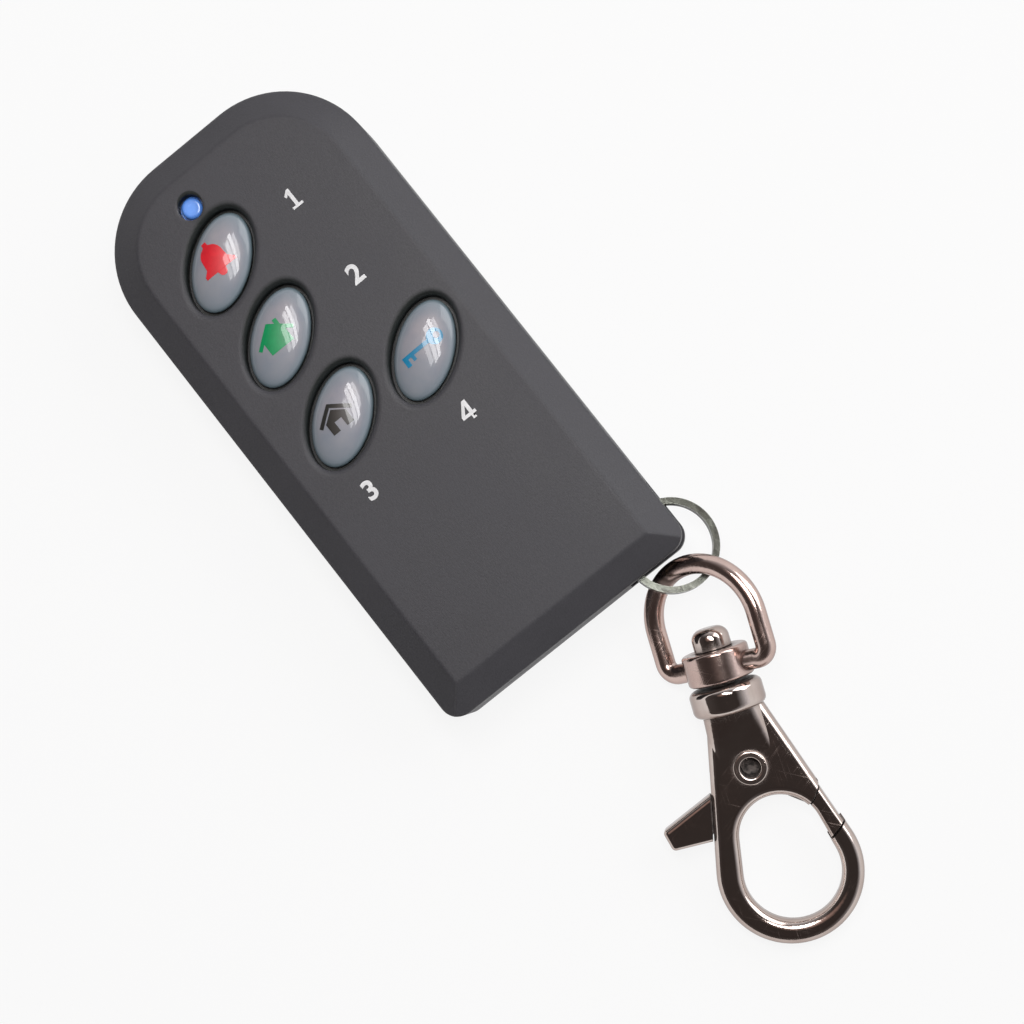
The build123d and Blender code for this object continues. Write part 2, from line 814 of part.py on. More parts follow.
def make_swivel_rivet():
    """Pin fixed in the hook's neck, with a round head inside the eye."""
    seat = eye_boss_top + rivet_head_gap
    head = y_disc(rivet_head_radius, seat, seat + rivet_head_height)
    head = fillet(head.faces().sort_by(Axis.Y)[-1].edges(), rivet_head_rounding)
    bottom = eye_boss_bottom - swivel_gap - rivet_seat_depth
    return clasp_frame * (head + y_disc(rivet_shank_radius, bottom, seat + weld_depth))


def hook_face(inset=0.0):
    """The hook's outer plan shape without the loop, drawn in or out by an inset."""
    neck = Line((hook_neck_left + inset, -hook_collar_height), (hook_neck_right - inset, -hook_collar_height))
    bend = Pos(*hook_outer_centre) * Circle(hook_outer_radius - inset)
    return make_hull([neck.edge()] + list(bend.edges()))


def loop_face(inset=0.0):
    """The plan shape of the loop inside the hook, widened by an inset of the metal round it."""
    lower = Pos(*hook_loop_lower_centre) * Circle(hook_loop_lower_radius + inset)
    upper = Pos(*hook_loop_upper_centre) * Circle(hook_loop_upper_radius + inset)
    return make_hull(list(lower.edges()) + list(upper.edges()))


def gate_zone(inner, outer):
    """The ring-shaped space round the lever's rivet that holds the gate."""
    whole = sector(pivot_place, outer, gate_first_angle, gate_last_angle)
    return plate(whole - Pos(*pivot_place) * Circle(inner), 2 * hook_thickness)


def nose_lap(grow):
    """The ledge under the gate's end, which hides the slit between the gate and the hook's nose."""
    ring = gate_zone(gate_outer_radius - gate_lap_length - grow, gate_outer_radius)
    low = hook_thickness / 2 - gate_lap_level
    return ring & Pos(0, 0, gate_lap_level + grow - low / 2) * Box(4 * gate_outer_radius, 8 * gate_outer_radius, low)


def plate(face, thickness):
    """A flat shape given an equal thickness on both sides of the hook's middle plane."""
    return extrude(face, thickness / 2, both=True)


def pivot_angle(point):
    """The angle of a point of the hook seen from the lever's rivet."""
    return math.degrees(math.atan2(point[1] - pivot_place[1], point[0] - pivot_place[0]))


def lever_arm(angle, grow):
    """The flat arm that carries the gate, turned to an angle."""
    length = gate_inner_radius + gate_clearance + gate_root_depth
    arm = Pos(length / 2, 0) * Rectangle(length, 2 * (lever_arm_half_width + grow))
    return Pos(*pivot_place) * Rot(0, 0, angle) * arm


def lever_slot():
    """The slot in the hook that the lever's plate turns in."""
    thickness = lever_plate_thickness + 2 * lever_slot_gap
    slot = Pos(*pivot_place) * Circle(lever_hub_radius + spring_gap + spring_thickness + lever_slot_gap)
    open_angle = lever_arm_angle - lever_opening
    slot += lever_arm(lever_arm_angle, lever_slot_gap)
    slot += lever_arm(open_angle, lever_slot_gap)
    slot += sector(pivot_place, gate_inner_radius + gate_root_depth, open_angle, lever_arm_angle)
    first = pivot_angle(tab_link_points[0]) - lever_opening - lever_slot_play
    last = pivot_angle(tab_link_points[1]) + lever_slot_play
    slot += sector(pivot_place, gate_outer_radius, first, last)
    return plate(slot, thickness)


def closed_hook(inset=0.0):
    """The hook's rounded plate with its loop, before the gate is parted from it, or slimmer by an inset."""
    whole = plate(hook_face(inset) - loop_face(inset), hook_thickness - 2 * inset)
    edges = [edge for face in whole.faces().filter_by(Axis.Z) for edge in face.edges()]
    below_collar = [edge for edge in edges if edge.center().Y < -hook_collar_height - weld_depth]
    return fillet(below_collar, hook_edge_rounding - 2 * inset)


def make_hook_body():
    """Cast hook: collar, tapering neck and limb round the loop, open where the gate closes it."""
    whole = closed_hook()
    limb = whole - gate_zone(gate_inner_radius, gate_outer_radius) + (whole & nose_lap(0))
    collar_top = eye_boss_bottom - swivel_gap
    collar = y_disc(hook_collar_radius, collar_top - hook_collar_height, collar_top)
    collar = fillet(collar.edges().filter_by(GeomType.CIRCLE), hook_collar_rounding)
    wide = Plane((0, collar_top - hook_collar_height / 2, 0), x_dir=(1, 0, 0), z_dir=(0, -1, 0))
    slim = Plane((pivot_place[0] / 2, hook_neck_end, 0), x_dir=(1, 0, 0), z_dir=(0, -1, 0))
    neck = loft([
        wide * RectangleRounded(hook_neck_width, hook_neck_thickness, hook_neck_rounding),
        slim * RectangleRounded(hook_neck_end_width, hook_neck_end_thickness, hook_neck_end_rounding),
    ], ruled=True)
    body = limb + collar + neck
    body -= lever_slot()
    body -= Pos(*pivot_place, 0) * Cylinder(lever_rivet_radius, 4 * hook_thickness)
    head_room = Cylinder(lever_rivet_head_radius + lever_rivet_head_gap, hook_thickness)
    head_room = Pos(*pivot_place, hook_thickness) * head_room
    body -= head_room
    body -= mirror(head_room, Plane.XY)
    body -= y_disc(rivet_shank_radius, collar_top - rivet_seat_depth, collar_top + cut_past)
    return clasp_frame * body


def make_gate_lever():
    """One-piece lever: gate across the hook's opening, flat plate on the rivet, thumb tab."""
    zone = gate_zone(gate_inner_radius + gate_clearance, gate_outer_radius - gate_clearance)
    gate = (closed_hook(gate_inset) & zone) - nose_lap(gate_clearance)
    hub = Pos(*pivot_place) * Circle(lever_hub_radius)
    arm = lever_arm(lever_arm_angle, 0) & hook_face(gate_inset)
    link = Polygon(pivot_place, *tab_link_points, align=None)
    thin = plate(hub + arm + link, lever_plate_thickness)
    tab = Polygon(*tab_points, align=None)
    tab = plate(fillet(tab.vertices(), tab_corner_radius), tab_thickness)
    tab = fillet([edge for face in tab.faces().filter_by(Axis.Z) for edge in face.edges()], tab_rounding)
    tab -= plate(hook_face(-tab_hook_gap), 2 * hook_thickness)
    lever = gate + thin + tab
    lever -= Pos(*pivot_place, 0) * Cylinder(lever_rivet_radius + lever_running_gap, 4 * hook_thickness)
    return clasp_frame * lever


def make_lever_rivet():
    """Half-hollow rivet through the hook's cheeks and the lever, its open end on the face side."""
    top = hook_thickness / 2 + lever_rivet_head_height
    rivet = Cylinder(lever_rivet_radius, hook_thickness)
    for side in (-1, 1):
        middle = side * (hook_thickness + lever_rivet_head_height) / 2
        rivet += Pos(0, 0, middle) * Cylinder(lever_rivet_head_radius, lever_rivet_head_height)
    bore_length = 2 * top - lever_rivet_floor
    rivet -= Pos(0, 0, top - bore_length / 2) * Cylinder(lever_rivet_bore, bore_length)
    ends = rivet.faces().sort_by(Axis.Z)
    rivet = fillet(ends[-1].edges() + ends[0].edges(), lever_rivet_head_rounding)
    return clasp_frame * Pos(*pivot_place, 0) * rivet


def make_lever_spring():
    """Curved leaf spring between the lever's hub and the end of its slot."""
    inner = lever_hub_radius + spring_gap
    band = sector(pivot_place, inner + spring_thickness, spring_first_angle, spring_last_angle)
    band -= Pos(*pivot_place) * Circle(inner)
    return clasp_frame * plate(band, spring_width)


def make_parts():
    """Every piece of the remote, by name."""
    parts["front_shell"] = make_front_shell()
    parts["back_shell"] = make_back_shell()
    parts["battery_cover"] = make_battery_cover()
    parts["battery_cover_seal"] = make_battery_cover_seal()
    parts["coin_cell"] = make_coin_cell()
    parts["battery_contact_positive"] = make_positive_contact()
    parts["battery_contact_negative"] = make_negative_contact()
    parts["case_screws"] = make_case_screws()
    parts["key_post"] = make_key_post()
    parts["circuit_board"] = make_circuit_board()
    parts["antenna_trace"] = make_antenna()
    parts["indicator_light_chip"] = make_light_chip()
    parts["indicator_light_pipe"] = make_light_pipe()
    parts["encoder_chip"] = make_encoder_chip()
    parts["resonator_can"] = make_resonator_can()
    parts["rf_transistor"] = make_transistor()
    parts["trimmer_capacitor"] = make_trimmer()
    parts["chip_resistors"] = chip_row(resistor_size, resistor_row, resistor_pitch, resistor_count)
    parts["chip_capacitors"] = chip_row(capacitor_size, capacitor_row, capacitor_pitch, capacitor_count)
    for colour, place in button_places.items():
        parts[colour + "_button_cap"] = make_button_cap(place)
        parts[colour + "_button_dome"] = make_button_dome(place)
        parts[colour + "_switch_housing"] = make_switch_housing(place)
        parts[colour + "_switch_plunger"] = make_switch_plunger(place)
    parts["split_ring"] = make_split_ring()
    parts["swivel_eye"] = make_swivel_eye()
    parts["swivel_rivet"] = make_swivel_rivet()
    parts["hook_body"] = make_hook_body()
    parts["gate_lever"] = make_gate_lever()
    parts["lever_rivet"] = make_lever_rivet()
    parts["lever_spring"] = make_lever_spring()


make_parts()
os.makedirs("parts", exist_ok=True)
for name, shape in parts.items():
    export_step(shape, "parts/" + name + ".step")
print("least gap between the split ring's turns:", round(least_ring_gap(), 3), "mm")
print("pieces written:", len(parts))
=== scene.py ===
# %% [markdown]
# # A wireless remote control with a split ring and a swivel snap hook
# The remote is a small dark grey casing with four domed oval buttons and an indicator light. A
# split ring through one corner carries a nickel plated snap hook. The shapes come from the packed
# model, which is exact and stays where it is. This script gives every piece its finish, adds the
# printed marks, and sets the stage.

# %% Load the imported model
import math

import bpy
from mathutils import Matrix, Vector


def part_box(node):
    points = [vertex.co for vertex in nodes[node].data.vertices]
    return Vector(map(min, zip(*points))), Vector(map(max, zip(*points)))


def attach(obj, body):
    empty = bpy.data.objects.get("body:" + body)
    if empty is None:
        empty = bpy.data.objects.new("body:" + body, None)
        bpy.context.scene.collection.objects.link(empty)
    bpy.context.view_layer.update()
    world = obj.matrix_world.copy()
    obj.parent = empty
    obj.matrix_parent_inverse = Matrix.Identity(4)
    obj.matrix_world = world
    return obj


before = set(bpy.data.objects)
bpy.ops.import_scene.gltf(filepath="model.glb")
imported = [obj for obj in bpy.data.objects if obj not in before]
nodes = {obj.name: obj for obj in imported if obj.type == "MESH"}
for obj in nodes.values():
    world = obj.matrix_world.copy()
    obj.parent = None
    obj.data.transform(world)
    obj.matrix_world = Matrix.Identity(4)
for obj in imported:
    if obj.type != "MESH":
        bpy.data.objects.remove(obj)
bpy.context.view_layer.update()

mm = 0.001
print("pieces in the packed model:", len(nodes))

# %% [markdown]
# ## Short helpers for node trees
# A finish is a tree of nodes. Adding a node, setting its inputs and linking it are three separate
# calls in Blender, so one helper does all three: a plain value is set on the socket, and another
# node's output is linked to it.

# %% Node helpers
def add(tree, kind, inputs=None, **settings):
    """Add a node, then set each named input to a value or link it to an output."""
    made = tree.nodes.new(kind)
    for name, value in settings.items():
        setattr(made, name, value)
    for name, value in (inputs or {}).items():
        socket = made.inputs[name]
        if isinstance(value, bpy.types.NodeSocket):
            tree.links.new(value, socket)
        else:
            socket.default_value = value
    count = len(tree.nodes)
    made.location = (240 * (count % 8), -320 * (count // 8))
    return made


def maths(tree, operation, first, second=0.0, clamp=False):
    """One step of arithmetic between two values or outputs."""
    made = add(tree, "ShaderNodeMath", {0: first, 1: second}, operation=operation, use_clamp=clamp)
    return made.outputs[0]


def vectors(tree, operation, first, second):
    """One step of arithmetic between two vectors. Output 0 is a vector, output 1 a value."""
    return add(tree, "ShaderNodeVectorMath", {0: first, 1: second}, operation=operation).outputs


def turn_in_plan(tree, place, angle):
    """Turn a place about the upright axis."""
    inputs = {"Vector": place, "Angle": angle}
    return add(tree, "ShaderNodeVectorRotate", inputs, rotation_type="Z_AXIS").outputs[0]


def noise(tree, place, scale, detail=2.0):
    """Soft random values from 0 to 1, the same on every run."""
    inputs = {"Vector": place, "Scale": scale, "Detail": detail}
    return add(tree, "ShaderNodeTexNoise", inputs).outputs["Fac"]


def stretch(tree, value, low, high, new_low=0.0, new_high=1.0):
    """Spread the values from low to high over new_low to new_high, and cut off the rest."""
    inputs = {
        "Value": value, "From Min": low, "From Max": high, "To Min": new_low, "To Max": new_high,
    }
    return add(tree, "ShaderNodeMapRange", inputs).outputs["Result"]


def blend_colours(tree, share, first, second):
    """Mix two colours by a share from 0 to 1."""
    made = add(tree, "ShaderNodeMix", {0: share, 6: first, 7: second}, data_type="RGBA")
    return made.outputs[2]


def shade(colour, share=1.0):
    """A colour made darker or lighter by a share, with the fourth value that sockets want."""
    return tuple(share * channel for channel in colour) + (1.0,)


def new_group(name, inputs, outputs):
    """Start a group of shader nodes with named inputs and outputs."""
    tree = bpy.data.node_groups.new(name, "ShaderNodeTree")
    for label, value in inputs.items():
        kind = "NodeSocketVector" if isinstance(value, tuple) else "NodeSocketFloat"
        tree.interface.new_socket(label, in_out="INPUT", socket_type=kind).default_value = value
    for label in outputs:
        tree.interface.new_socket(label, in_out="OUTPUT", socket_type="NodeSocketFloat")
    given = tree.nodes.new("NodeGroupInput").outputs
    wanted = tree.nodes.new("NodeGroupOutput").inputs
    return tree, given, wanted


def use_group(tree, group, inputs=None):
    """Put a group into a material and give its named inputs."""
    made = tree.nodes.new("ShaderNodeGroup")
    made.node_tree = group
    for name, value in (inputs or {}).items():
        made.inputs[name].default_value = value
    return made.outputs


print("helpers ready")

# %% [markdown]
# ## Shared effect: moulded grain
# The steel mould of such a casing is eroded by sparks, which leaves a fine even grain about a
# quarter of a millimetre across. Two layers of noise in the piece's own coordinates make it: a fine
# one for the height of the grain and a broad one for the faint patches where the plastic cooled at
# different speeds.

# %% Moulded grain
grain_group, given, wanted = new_group(
    "Moulded grain", {"Grain size": 0.25 * mm, "Patch size": 9 * mm}, ["Height", "Patches"]
)
place = add(grain_group, "ShaderNodeTexCoord").outputs["Object"]
fine_scale = maths(grain_group, "DIVIDE", 1.0, given["Grain size"])
broad_scale = maths(grain_group, "DIVIDE", 1.0, given["Patch size"])
grain_group.links.new(noise(grain_group, place, fine_scale, 3.0), wanted["Height"])
patches = stretch(grain_group, noise(grain_group, place, broad_scale, 4.0), 0.3, 0.7)
grain_group.links.new(patches, wanted["Patches"])
print("group:", grain_group.name)

# %% [markdown]
# ## Shared effect: rubbed edges
# Hands and pockets polish the edges of a remote first. The Bevel node gives the direction that a
# surface would have if its edges were rounded. Where that direction departs from the real one there
# is an edge, and a broad noise breaks the line up, because no edge wears evenly.

# %% Rubbed edges
edge_group, given, wanted = new_group(
    "Rubbed edges", {"Width": 0.35 * mm, "Break size": 2.5 * mm}, ["Edge"]
)
rounded = add(edge_group, "ShaderNodeBevel", {"Radius": given["Width"]}, samples=4).outputs[0]
real = add(edge_group, "ShaderNodeNewGeometry").outputs["Normal"]
alike = vectors(edge_group, "DOT_PRODUCT", rounded, real)["Value"]
edge = stretch(edge_group, alike, 0.995, 0.90)
place = add(edge_group, "ShaderNodeTexCoord").outputs["Object"]
break_scale = maths(edge_group, "DIVIDE", 1.0, given["Break size"])
broken = stretch(edge_group, noise(edge_group, place, break_scale, 4.0), 0.35, 0.6, 0.35, 1.0)
edge_group.links.new(maths(edge_group, "MULTIPLY", edge, broken, clamp=True), wanted["Edge"])
print("group:", edge_group.name)

# %% [markdown]
# ## Shared effect: grime and painted shade in gaps
# Dust and skin grease stay where nothing rubs: round the buttons, in the hollow rivet, between hook
# and eye. The Ambient Occlusion node measures how closed in a point is, and the darkening it leads is
# partly that dirt and partly painted shade, where light can't reach. Noise makes it patchy.

# %% Grime and painted shade in gaps
grime_shade_group, given, wanted = new_group(
    "Dirt and shade in gaps", {"Reach": 0.8 * mm, "Break size": 0.7 * mm}, ["Grime"]
)
openness = add(grime_shade_group, "ShaderNodeAmbientOcclusion", {"Distance": given["Reach"]}, samples=6)
closed_in = stretch(grime_shade_group, openness.outputs["AO"], 0.85, 0.25)
place = add(grime_shade_group, "ShaderNodeTexCoord").outputs["Object"]
break_scale = maths(grime_shade_group, "DIVIDE", 1.0, given["Break size"])
patchy = stretch(grime_shade_group, noise(grime_shade_group, place, break_scale, 3.0), 0.3, 0.6, 0.6, 1.0)
dirt_and_shade = maths(grime_shade_group, "MULTIPLY", closed_in, patchy, clamp=True)
grime_shade_group.links.new(dirt_and_shade, wanted["Grime"])
print("group:", grime_shade_group.name)

# %% [markdown]
# ## Shared effect: fine scratches
# Keys and coins draw hair-thin lines over anything on a key ring. A noise that is squeezed across
# and pulled along one direction gives such lines. Three turned copies cross each other, and a
# patchy noise keeps them in clusters.

# %% Fine scratches
scratch_directions = (0.35, 1.30, 2.45)
cluster_size = 4 * mm

scratch_group, given, wanted = new_group(
    "Fine scratches", {"Spacing": 0.12 * mm, "Length": 5 * mm}, ["Scratches"]
)
place = add(scratch_group, "ShaderNodeTexCoord").outputs["Object"]
across = maths(scratch_group, "DIVIDE", 1.0, given["Spacing"])
along = maths(scratch_group, "DIVIDE", 1.0, given["Length"])
scales = {"X": across, "Y": along, "Z": along}
squeeze = add(scratch_group, "ShaderNodeCombineXYZ", scales).outputs[0]
lines = 0.0
for direction in scratch_directions:
    turned = turn_in_plan(scratch_group, place, direction)
    pulled = vectors(scratch_group, "MULTIPLY", turned, squeeze)[0]
    one_way = stretch(scratch_group, noise(scratch_group, pulled, 1.0, 0.0), 0.70, 0.80)
    lines = maths(scratch_group, "MAXIMUM", one_way, lines)
clusters = stretch(scratch_group, noise(scratch_group, place, 1 / cluster_size), 0.42, 0.68)
scratch_group.links.new(maths(scratch_group, "MULTIPLY", lines, clusters), wanted["Scratches"])
print("group:", scratch_group.name)

# %% [markdown]
# ## Finish: plastics and rubber
# One function makes every moulded finish. The casing, the caps, the board and the chips differ in
# colour, gloss and size of grain, but each has grain in its relief, patches in its colour and
# roughness, and lighter rubbed edges.

# %% Moulded finishes
def new_material(name, metallic, coat):
    """Start a material and set what is the same all over it on the shader itself."""
    made = bpy.data.materials.new(name)
    made.use_nodes = True
    shader = made.node_tree.nodes["Principled BSDF"]
    shader.inputs["Metallic"].default_value = metallic
    shader.inputs["Coat Weight"].default_value = coat
    shader.inputs["Coat Roughness"].default_value = 0.04
    return made, made.node_tree, shader


def bump(tree, shader, height, strength, depth, edge_round=0.0):
    """Give the shader a relief and, if wanted, softly rounded edges below it."""
    inputs = {"Height": height, "Strength": strength, "Distance": depth}
    if edge_round > 0:
        softened = add(tree, "ShaderNodeBevel", {"Radius": edge_round}, samples=6)
        inputs["Normal"] = softened.outputs[0]
    tree.links.new(add(tree, "ShaderNodeBump", inputs).outputs["Normal"], shader.inputs["Normal"])


dark_patch = 0.86
light_patch = 1.10
light_grain = 1.3
dirt_shade_share = 0.25
scratch_wear = 0.12
edge_wear = 0.6
grime_shade_cover = 0.85
gloss_change = 0.05
edge_polish = 0.12
grain_strength = 0.6


def moulded(
    name, colour, rubbed, roughness, grain=0.25 * mm, depth=0.03 * mm, edge_round=0.0, coat=0.0
):
    """Plastic, rubber, lacquer or ceramic with grain, patches and rubbed edges."""
    made, tree, shader = new_material(name, 0.0, coat)
    texture = use_group(tree, grain_group, {"Grain size": grain})
    edge = use_group(tree, edge_group)["Edge"]
    scratches = use_group(tree, scratch_group)["Scratches"]
    grime_and_shade = use_group(tree, grime_shade_group)["Grime"]
    darker, lighter = shade(colour, dark_patch), shade(colour, light_patch)
    body = blend_colours(tree, texture["Patches"], darker, lighter)
    speckle = stretch(tree, texture["Height"], 0.3, 0.7, 0.0, 0.5)
    body = blend_colours(tree, speckle, body, shade(colour, light_grain))
    wear = maths(tree, "MAXIMUM", edge, maths(tree, "MULTIPLY", scratches, scratch_wear))
    body = blend_colours(tree, maths(tree, "MULTIPLY", wear, edge_wear), body, shade(rubbed))
    # Grime and painted shade darken the closed-in places, such as the rims round the buttons.
    grime_and_shade = maths(tree, "MULTIPLY", grime_and_shade, grime_shade_cover)
    body = blend_colours(tree, grime_and_shade, body, shade(colour, dirt_shade_share))
    tree.links.new(body, shader.inputs["Base Color"])
    rough = stretch(
        tree, texture["Patches"], 0.0, 1.0, roughness - gloss_change, roughness + gloss_change
    )
    smoother = maths(tree, "MULTIPLY", edge, edge_polish)
    tree.links.new(maths(tree, "SUBTRACT", rough, smoother, clamp=True), shader.inputs["Roughness"])
    bump(tree, shader, texture["Height"], grain_strength, depth, edge_round)
    return made


plastics = {
    "casing_plastic": moulded(
        "Casing plastic", (0.050, 0.049, 0.055), (0.12, 0.12, 0.125), 0.50,
        grain=0.22 * mm, depth=0.025 * mm, edge_round=0.6 * mm,
    ),
    "inner_plastic": moulded("Inner plastic", (0.05, 0.05, 0.055), (0.09, 0.09, 0.095), 0.55),
    # The cap plastic is near black, partly its own colour and partly painted shade in the gap round
    # each dome.
    "button_cap_plastic": moulded(
        "Cap plastic", (0.009, 0.012, 0.012), (0.016, 0.02, 0.02), 0.5, grain=0.15 * mm
    ),
    "chip_resin": moulded(
        "Chip resin", (0.02, 0.02, 0.022), (0.05, 0.05, 0.05), 0.55,
        grain=0.08 * mm, depth=0.01 * mm,
    ),
    "chip_ceramic": moulded(
        "Fired ceramic", (0.30, 0.25, 0.20), (0.5, 0.48, 0.45), 0.45,
        grain=0.06 * mm, depth=0.006 * mm,
    ),
    "seal_rubber": moulded(
        "Seal rubber", (0.02, 0.02, 0.02), (0.045, 0.045, 0.045), 0.7,
        grain=0.12 * mm, depth=0.01 * mm,
    ),
    "light_chip_resin": moulded(
        "Light chip resin", (0.78, 0.78, 0.70), (0.85, 0.85, 0.8), 0.25,
        grain=0.1 * mm, depth=0.004 * mm, coat=0.5,
    ),
}
print("plastics:", ", ".join(sorted(plastics)))

# %% [markdown]
# ## Finish: nickel plate and steels
# The snap hook is cast zinc that is polished and nickel plated. Casting leaves a gentle waviness
# under the mirror polish, nickel yellows and browns a little with handling, and the plate picks up
# fine scratches. Layer Weight leads in a brown painted shade where the surface is seen at a slant,
# which darkens the outlines. Dirt isn't metal, so dirt and painted shade in the corners take the
# metallic share away. The same function makes the spring steel, the zinc plated screws and the
# cell's can. Two pieces get a finish of their own: the eye is rubbed dull by the ring, and its pink
# cast is partly a painted warm reflection; the rivet's bore is darkened by painted shade.

# %% Metal finishes
dull_cover = 0.8
edge_cover = 0.5
bright_edge = 1.2
stain_shade_share = 0.06
slant_shade_tint = (0.30, 0.24, 0.22)
scratch_haze = 0.18
scratch_cut = 0.05
grime_haze = 0.5
wave_strength = 0.3
wave_depth = 0.10 * mm


def metal(name, clean, dull, roughness, wave=1.0, slant_shade=0.0, reach=1.5 * mm):
    """Plated metal: wavy polish, dull patches, scratches, painted shade at slants, and dirt and
    painted shade in its corners.
    """
    made, tree, shader = new_material(name, 1.0, 0.0)
    texture = use_group(tree, grain_group, {"Grain size": 2.2 * mm, "Patch size": 4 * mm})
    edge = use_group(tree, edge_group, {"Width": 0.25 * mm})["Edge"]
    scratches = use_group(tree, scratch_group)["Scratches"]
    patches = maths(tree, "MULTIPLY", texture["Patches"], dull_cover)
    body = blend_colours(tree, patches, shade(clean), shade(dull))
    edge = maths(tree, "MULTIPLY", edge, edge_cover)
    body = blend_colours(tree, edge, body, shade(clean, bright_edge))
    grime_and_shade = use_group(tree, grime_shade_group, {"Reach": reach})["Grime"]
    # Painted shade: a brown darkening that grows where the surface is seen at a slant.
    slanted = add(tree, "ShaderNodeLayerWeight", {"Blend": 0.35}).outputs["Facing"]
    slant_shaded = maths(tree, "MULTIPLY", stretch(tree, slanted, 0.15, 0.8), slant_shade)
    slant_shade_colour = shade([channel * tint for channel, tint in zip(dull, slant_shade_tint)])
    body = blend_colours(tree, slant_shaded, body, slant_shade_colour)
    # Dirt and painted shade darken the closed-in places of the metal.
    body = blend_colours(tree, grime_and_shade, body, shade(dull, stain_shade_share))
    tree.links.new(body, shader.inputs["Base Color"])
    tree.links.new(stretch(tree, grime_and_shade, 0.2, 0.9, 1.0, 0.1), shader.inputs["Metallic"])
    rough = stretch(tree, texture["Patches"], 0.0, 1.0, roughness, roughness + 0.08)
    rough = maths(tree, "ADD", rough, maths(tree, "MULTIPLY", scratches, scratch_haze))
    rough = maths(tree, "ADD", rough, maths(tree, "MULTIPLY", grime_and_shade, grime_haze), clamp=True)
    tree.links.new(rough, shader.inputs["Roughness"])
    cuts = maths(tree, "MULTIPLY", scratches, scratch_cut)
    relief = maths(tree, "SUBTRACT", texture["Height"], cuts)
    bump(tree, shader, relief, wave_strength, wave_depth * wave)
    return made


metals = {
    "nickel": metal("Polished nickel", (0.66, 0.58, 0.54), (0.50, 0.40, 0.36), 0.06, slant_shade=0.95),
    "spring_steel": metal(
        "Spring steel", (0.25, 0.26, 0.23), (0.09, 0.095, 0.08), 0.12, wave=0.8, slant_shade=0.95
    ),
    "screw_steel": metal("Zinc plate", (0.50, 0.50, 0.51), (0.36, 0.36, 0.38), 0.28, wave=0.5),
    "cell_can": metal("Cell can steel", (0.66, 0.66, 0.66), (0.55, 0.55, 0.54), 0.24, wave=0.3),
    "contact_plate": metal("Contact plate", (0.64, 0.60, 0.52), (0.52, 0.47, 0.40), 0.22, wave=0.3),
    "board_copper": metal("Tinned copper", (0.75, 0.52, 0.28), (0.58, 0.36, 0.20), 0.30, wave=0.4),
}
worn_metals = {
    # The eye's pink cast is partly its own warm nickel and partly a painted warm reflection.
    "swivel_eye": metal("Worn nickel", (0.70, 0.54, 0.49), (0.54, 0.40, 0.36), 0.15, slant_shade=0.9),
    # Painted shade: the long reach of four millimetres darkens the rivet's whole bore.
    "lever_rivet": metal(
        "Rivet nickel", (0.70, 0.62, 0.57), (0.56, 0.46, 0.42), 0.12, slant_shade=0.3, reach=4 * mm
    ),
}
print("metals:", ", ".join(sorted(metals)), "and", ", ".join(sorted(worn_metals)))

# %% [markdown]
# ## Finish: circuit board
# A lacquered board shows its copper tracks as slightly lighter lines under the green. The joints
# between courses of bricks stand for the tracks: cheap, generic and at the right pitch.

# %% Board lacquer
track_green = (0.07, 0.30, 0.12, 1.0)
track_cover = 0.55
board = moulded(
    "Board lacquer", (0.02, 0.14, 0.06), (0.10, 0.22, 0.12), 0.3,
    grain=0.1 * mm, depth=0.005 * mm, coat=0.6,
)
tree = board.node_tree
shader = tree.nodes["Principled BSDF"]
place = add(tree, "ShaderNodeTexCoord").outputs["Object"]
tracks = add(
    tree,
    "ShaderNodeTexBrick",
    {
        "Vector": place,
        "Scale": 1.0,
        "Mortar Size": 0.18 * mm,
        "Brick Width": 5.5 * mm,
        "Row Height": 1.3 * mm,
    },
).outputs["Fac"]
tracks = maths(tree, "MULTIPLY", tracks, track_cover)
under = shader.inputs["Base Color"].links[0].from_socket
tree.links.new(blend_colours(tree, tracks, under, track_green), shader.inputs["Base Color"])
print("board finish:", board.name)

# %% [markdown]
# ## Finish: pearl domes
# Each button is topped by a clear domed oval over a pearly label. From above it looks blue-grey,
# warmer in the middle, with a teal band where the dome's edge bends the light. A clear shell over a
# pearl layer would be slow and noisy at this size, so the pearl carries the tints, and a smooth
# clear coat carries the gloss. The teal is painted light that stands for that bending, and a dark
# rim is painted shade where the hole's wall shades the label. The tints follow an oval distance from
# each dome's own centre, which the group works out from Object coordinates. The lean is the turn
# that brings a dome's long axis, 38.5 degrees from X, on to Y.

# %% Pearl domes
dome_half_length = 6.05 * mm
dome_half_width = 3.5 * mm
dome_height = 1.35 * mm
dome_lean = math.radians(90 - 38.5)

oval_group, given, wanted = new_group(
    "Oval distance",
    {"Centre": (0.0, 0.0, 0.0), "Half length": 1.0, "Half width": 1.0, "Lean": 0.0},
    ["Distance", "Along"],
)
place = add(oval_group, "ShaderNodeTexCoord").outputs["Object"]
offset = vectors(oval_group, "SUBTRACT", place, given["Centre"])[0]
upright = turn_in_plan(oval_group, offset, given["Lean"])
parts = add(oval_group, "ShaderNodeSeparateXYZ", {0: upright}).outputs
across = maths(oval_group, "DIVIDE", parts["X"], given["Half width"])
along = maths(oval_group, "DIVIDE", parts["Y"], given["Half length"])
across_squared = maths(oval_group, "POWER", across, 2.0)
along_squared = maths(oval_group, "POWER", along, 2.0)
squares = maths(oval_group, "ADD", across_squared, along_squared)
oval_group.links.new(maths(oval_group, "SQRT", squares), wanted["Distance"])
oval_group.links.new(along, wanted["Along"])


def middle(node):
    """Centre of a node's box in plan."""
    low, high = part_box(node)
    return (low[0] + high[0]) / 2, (low[1] + high[1]) / 2


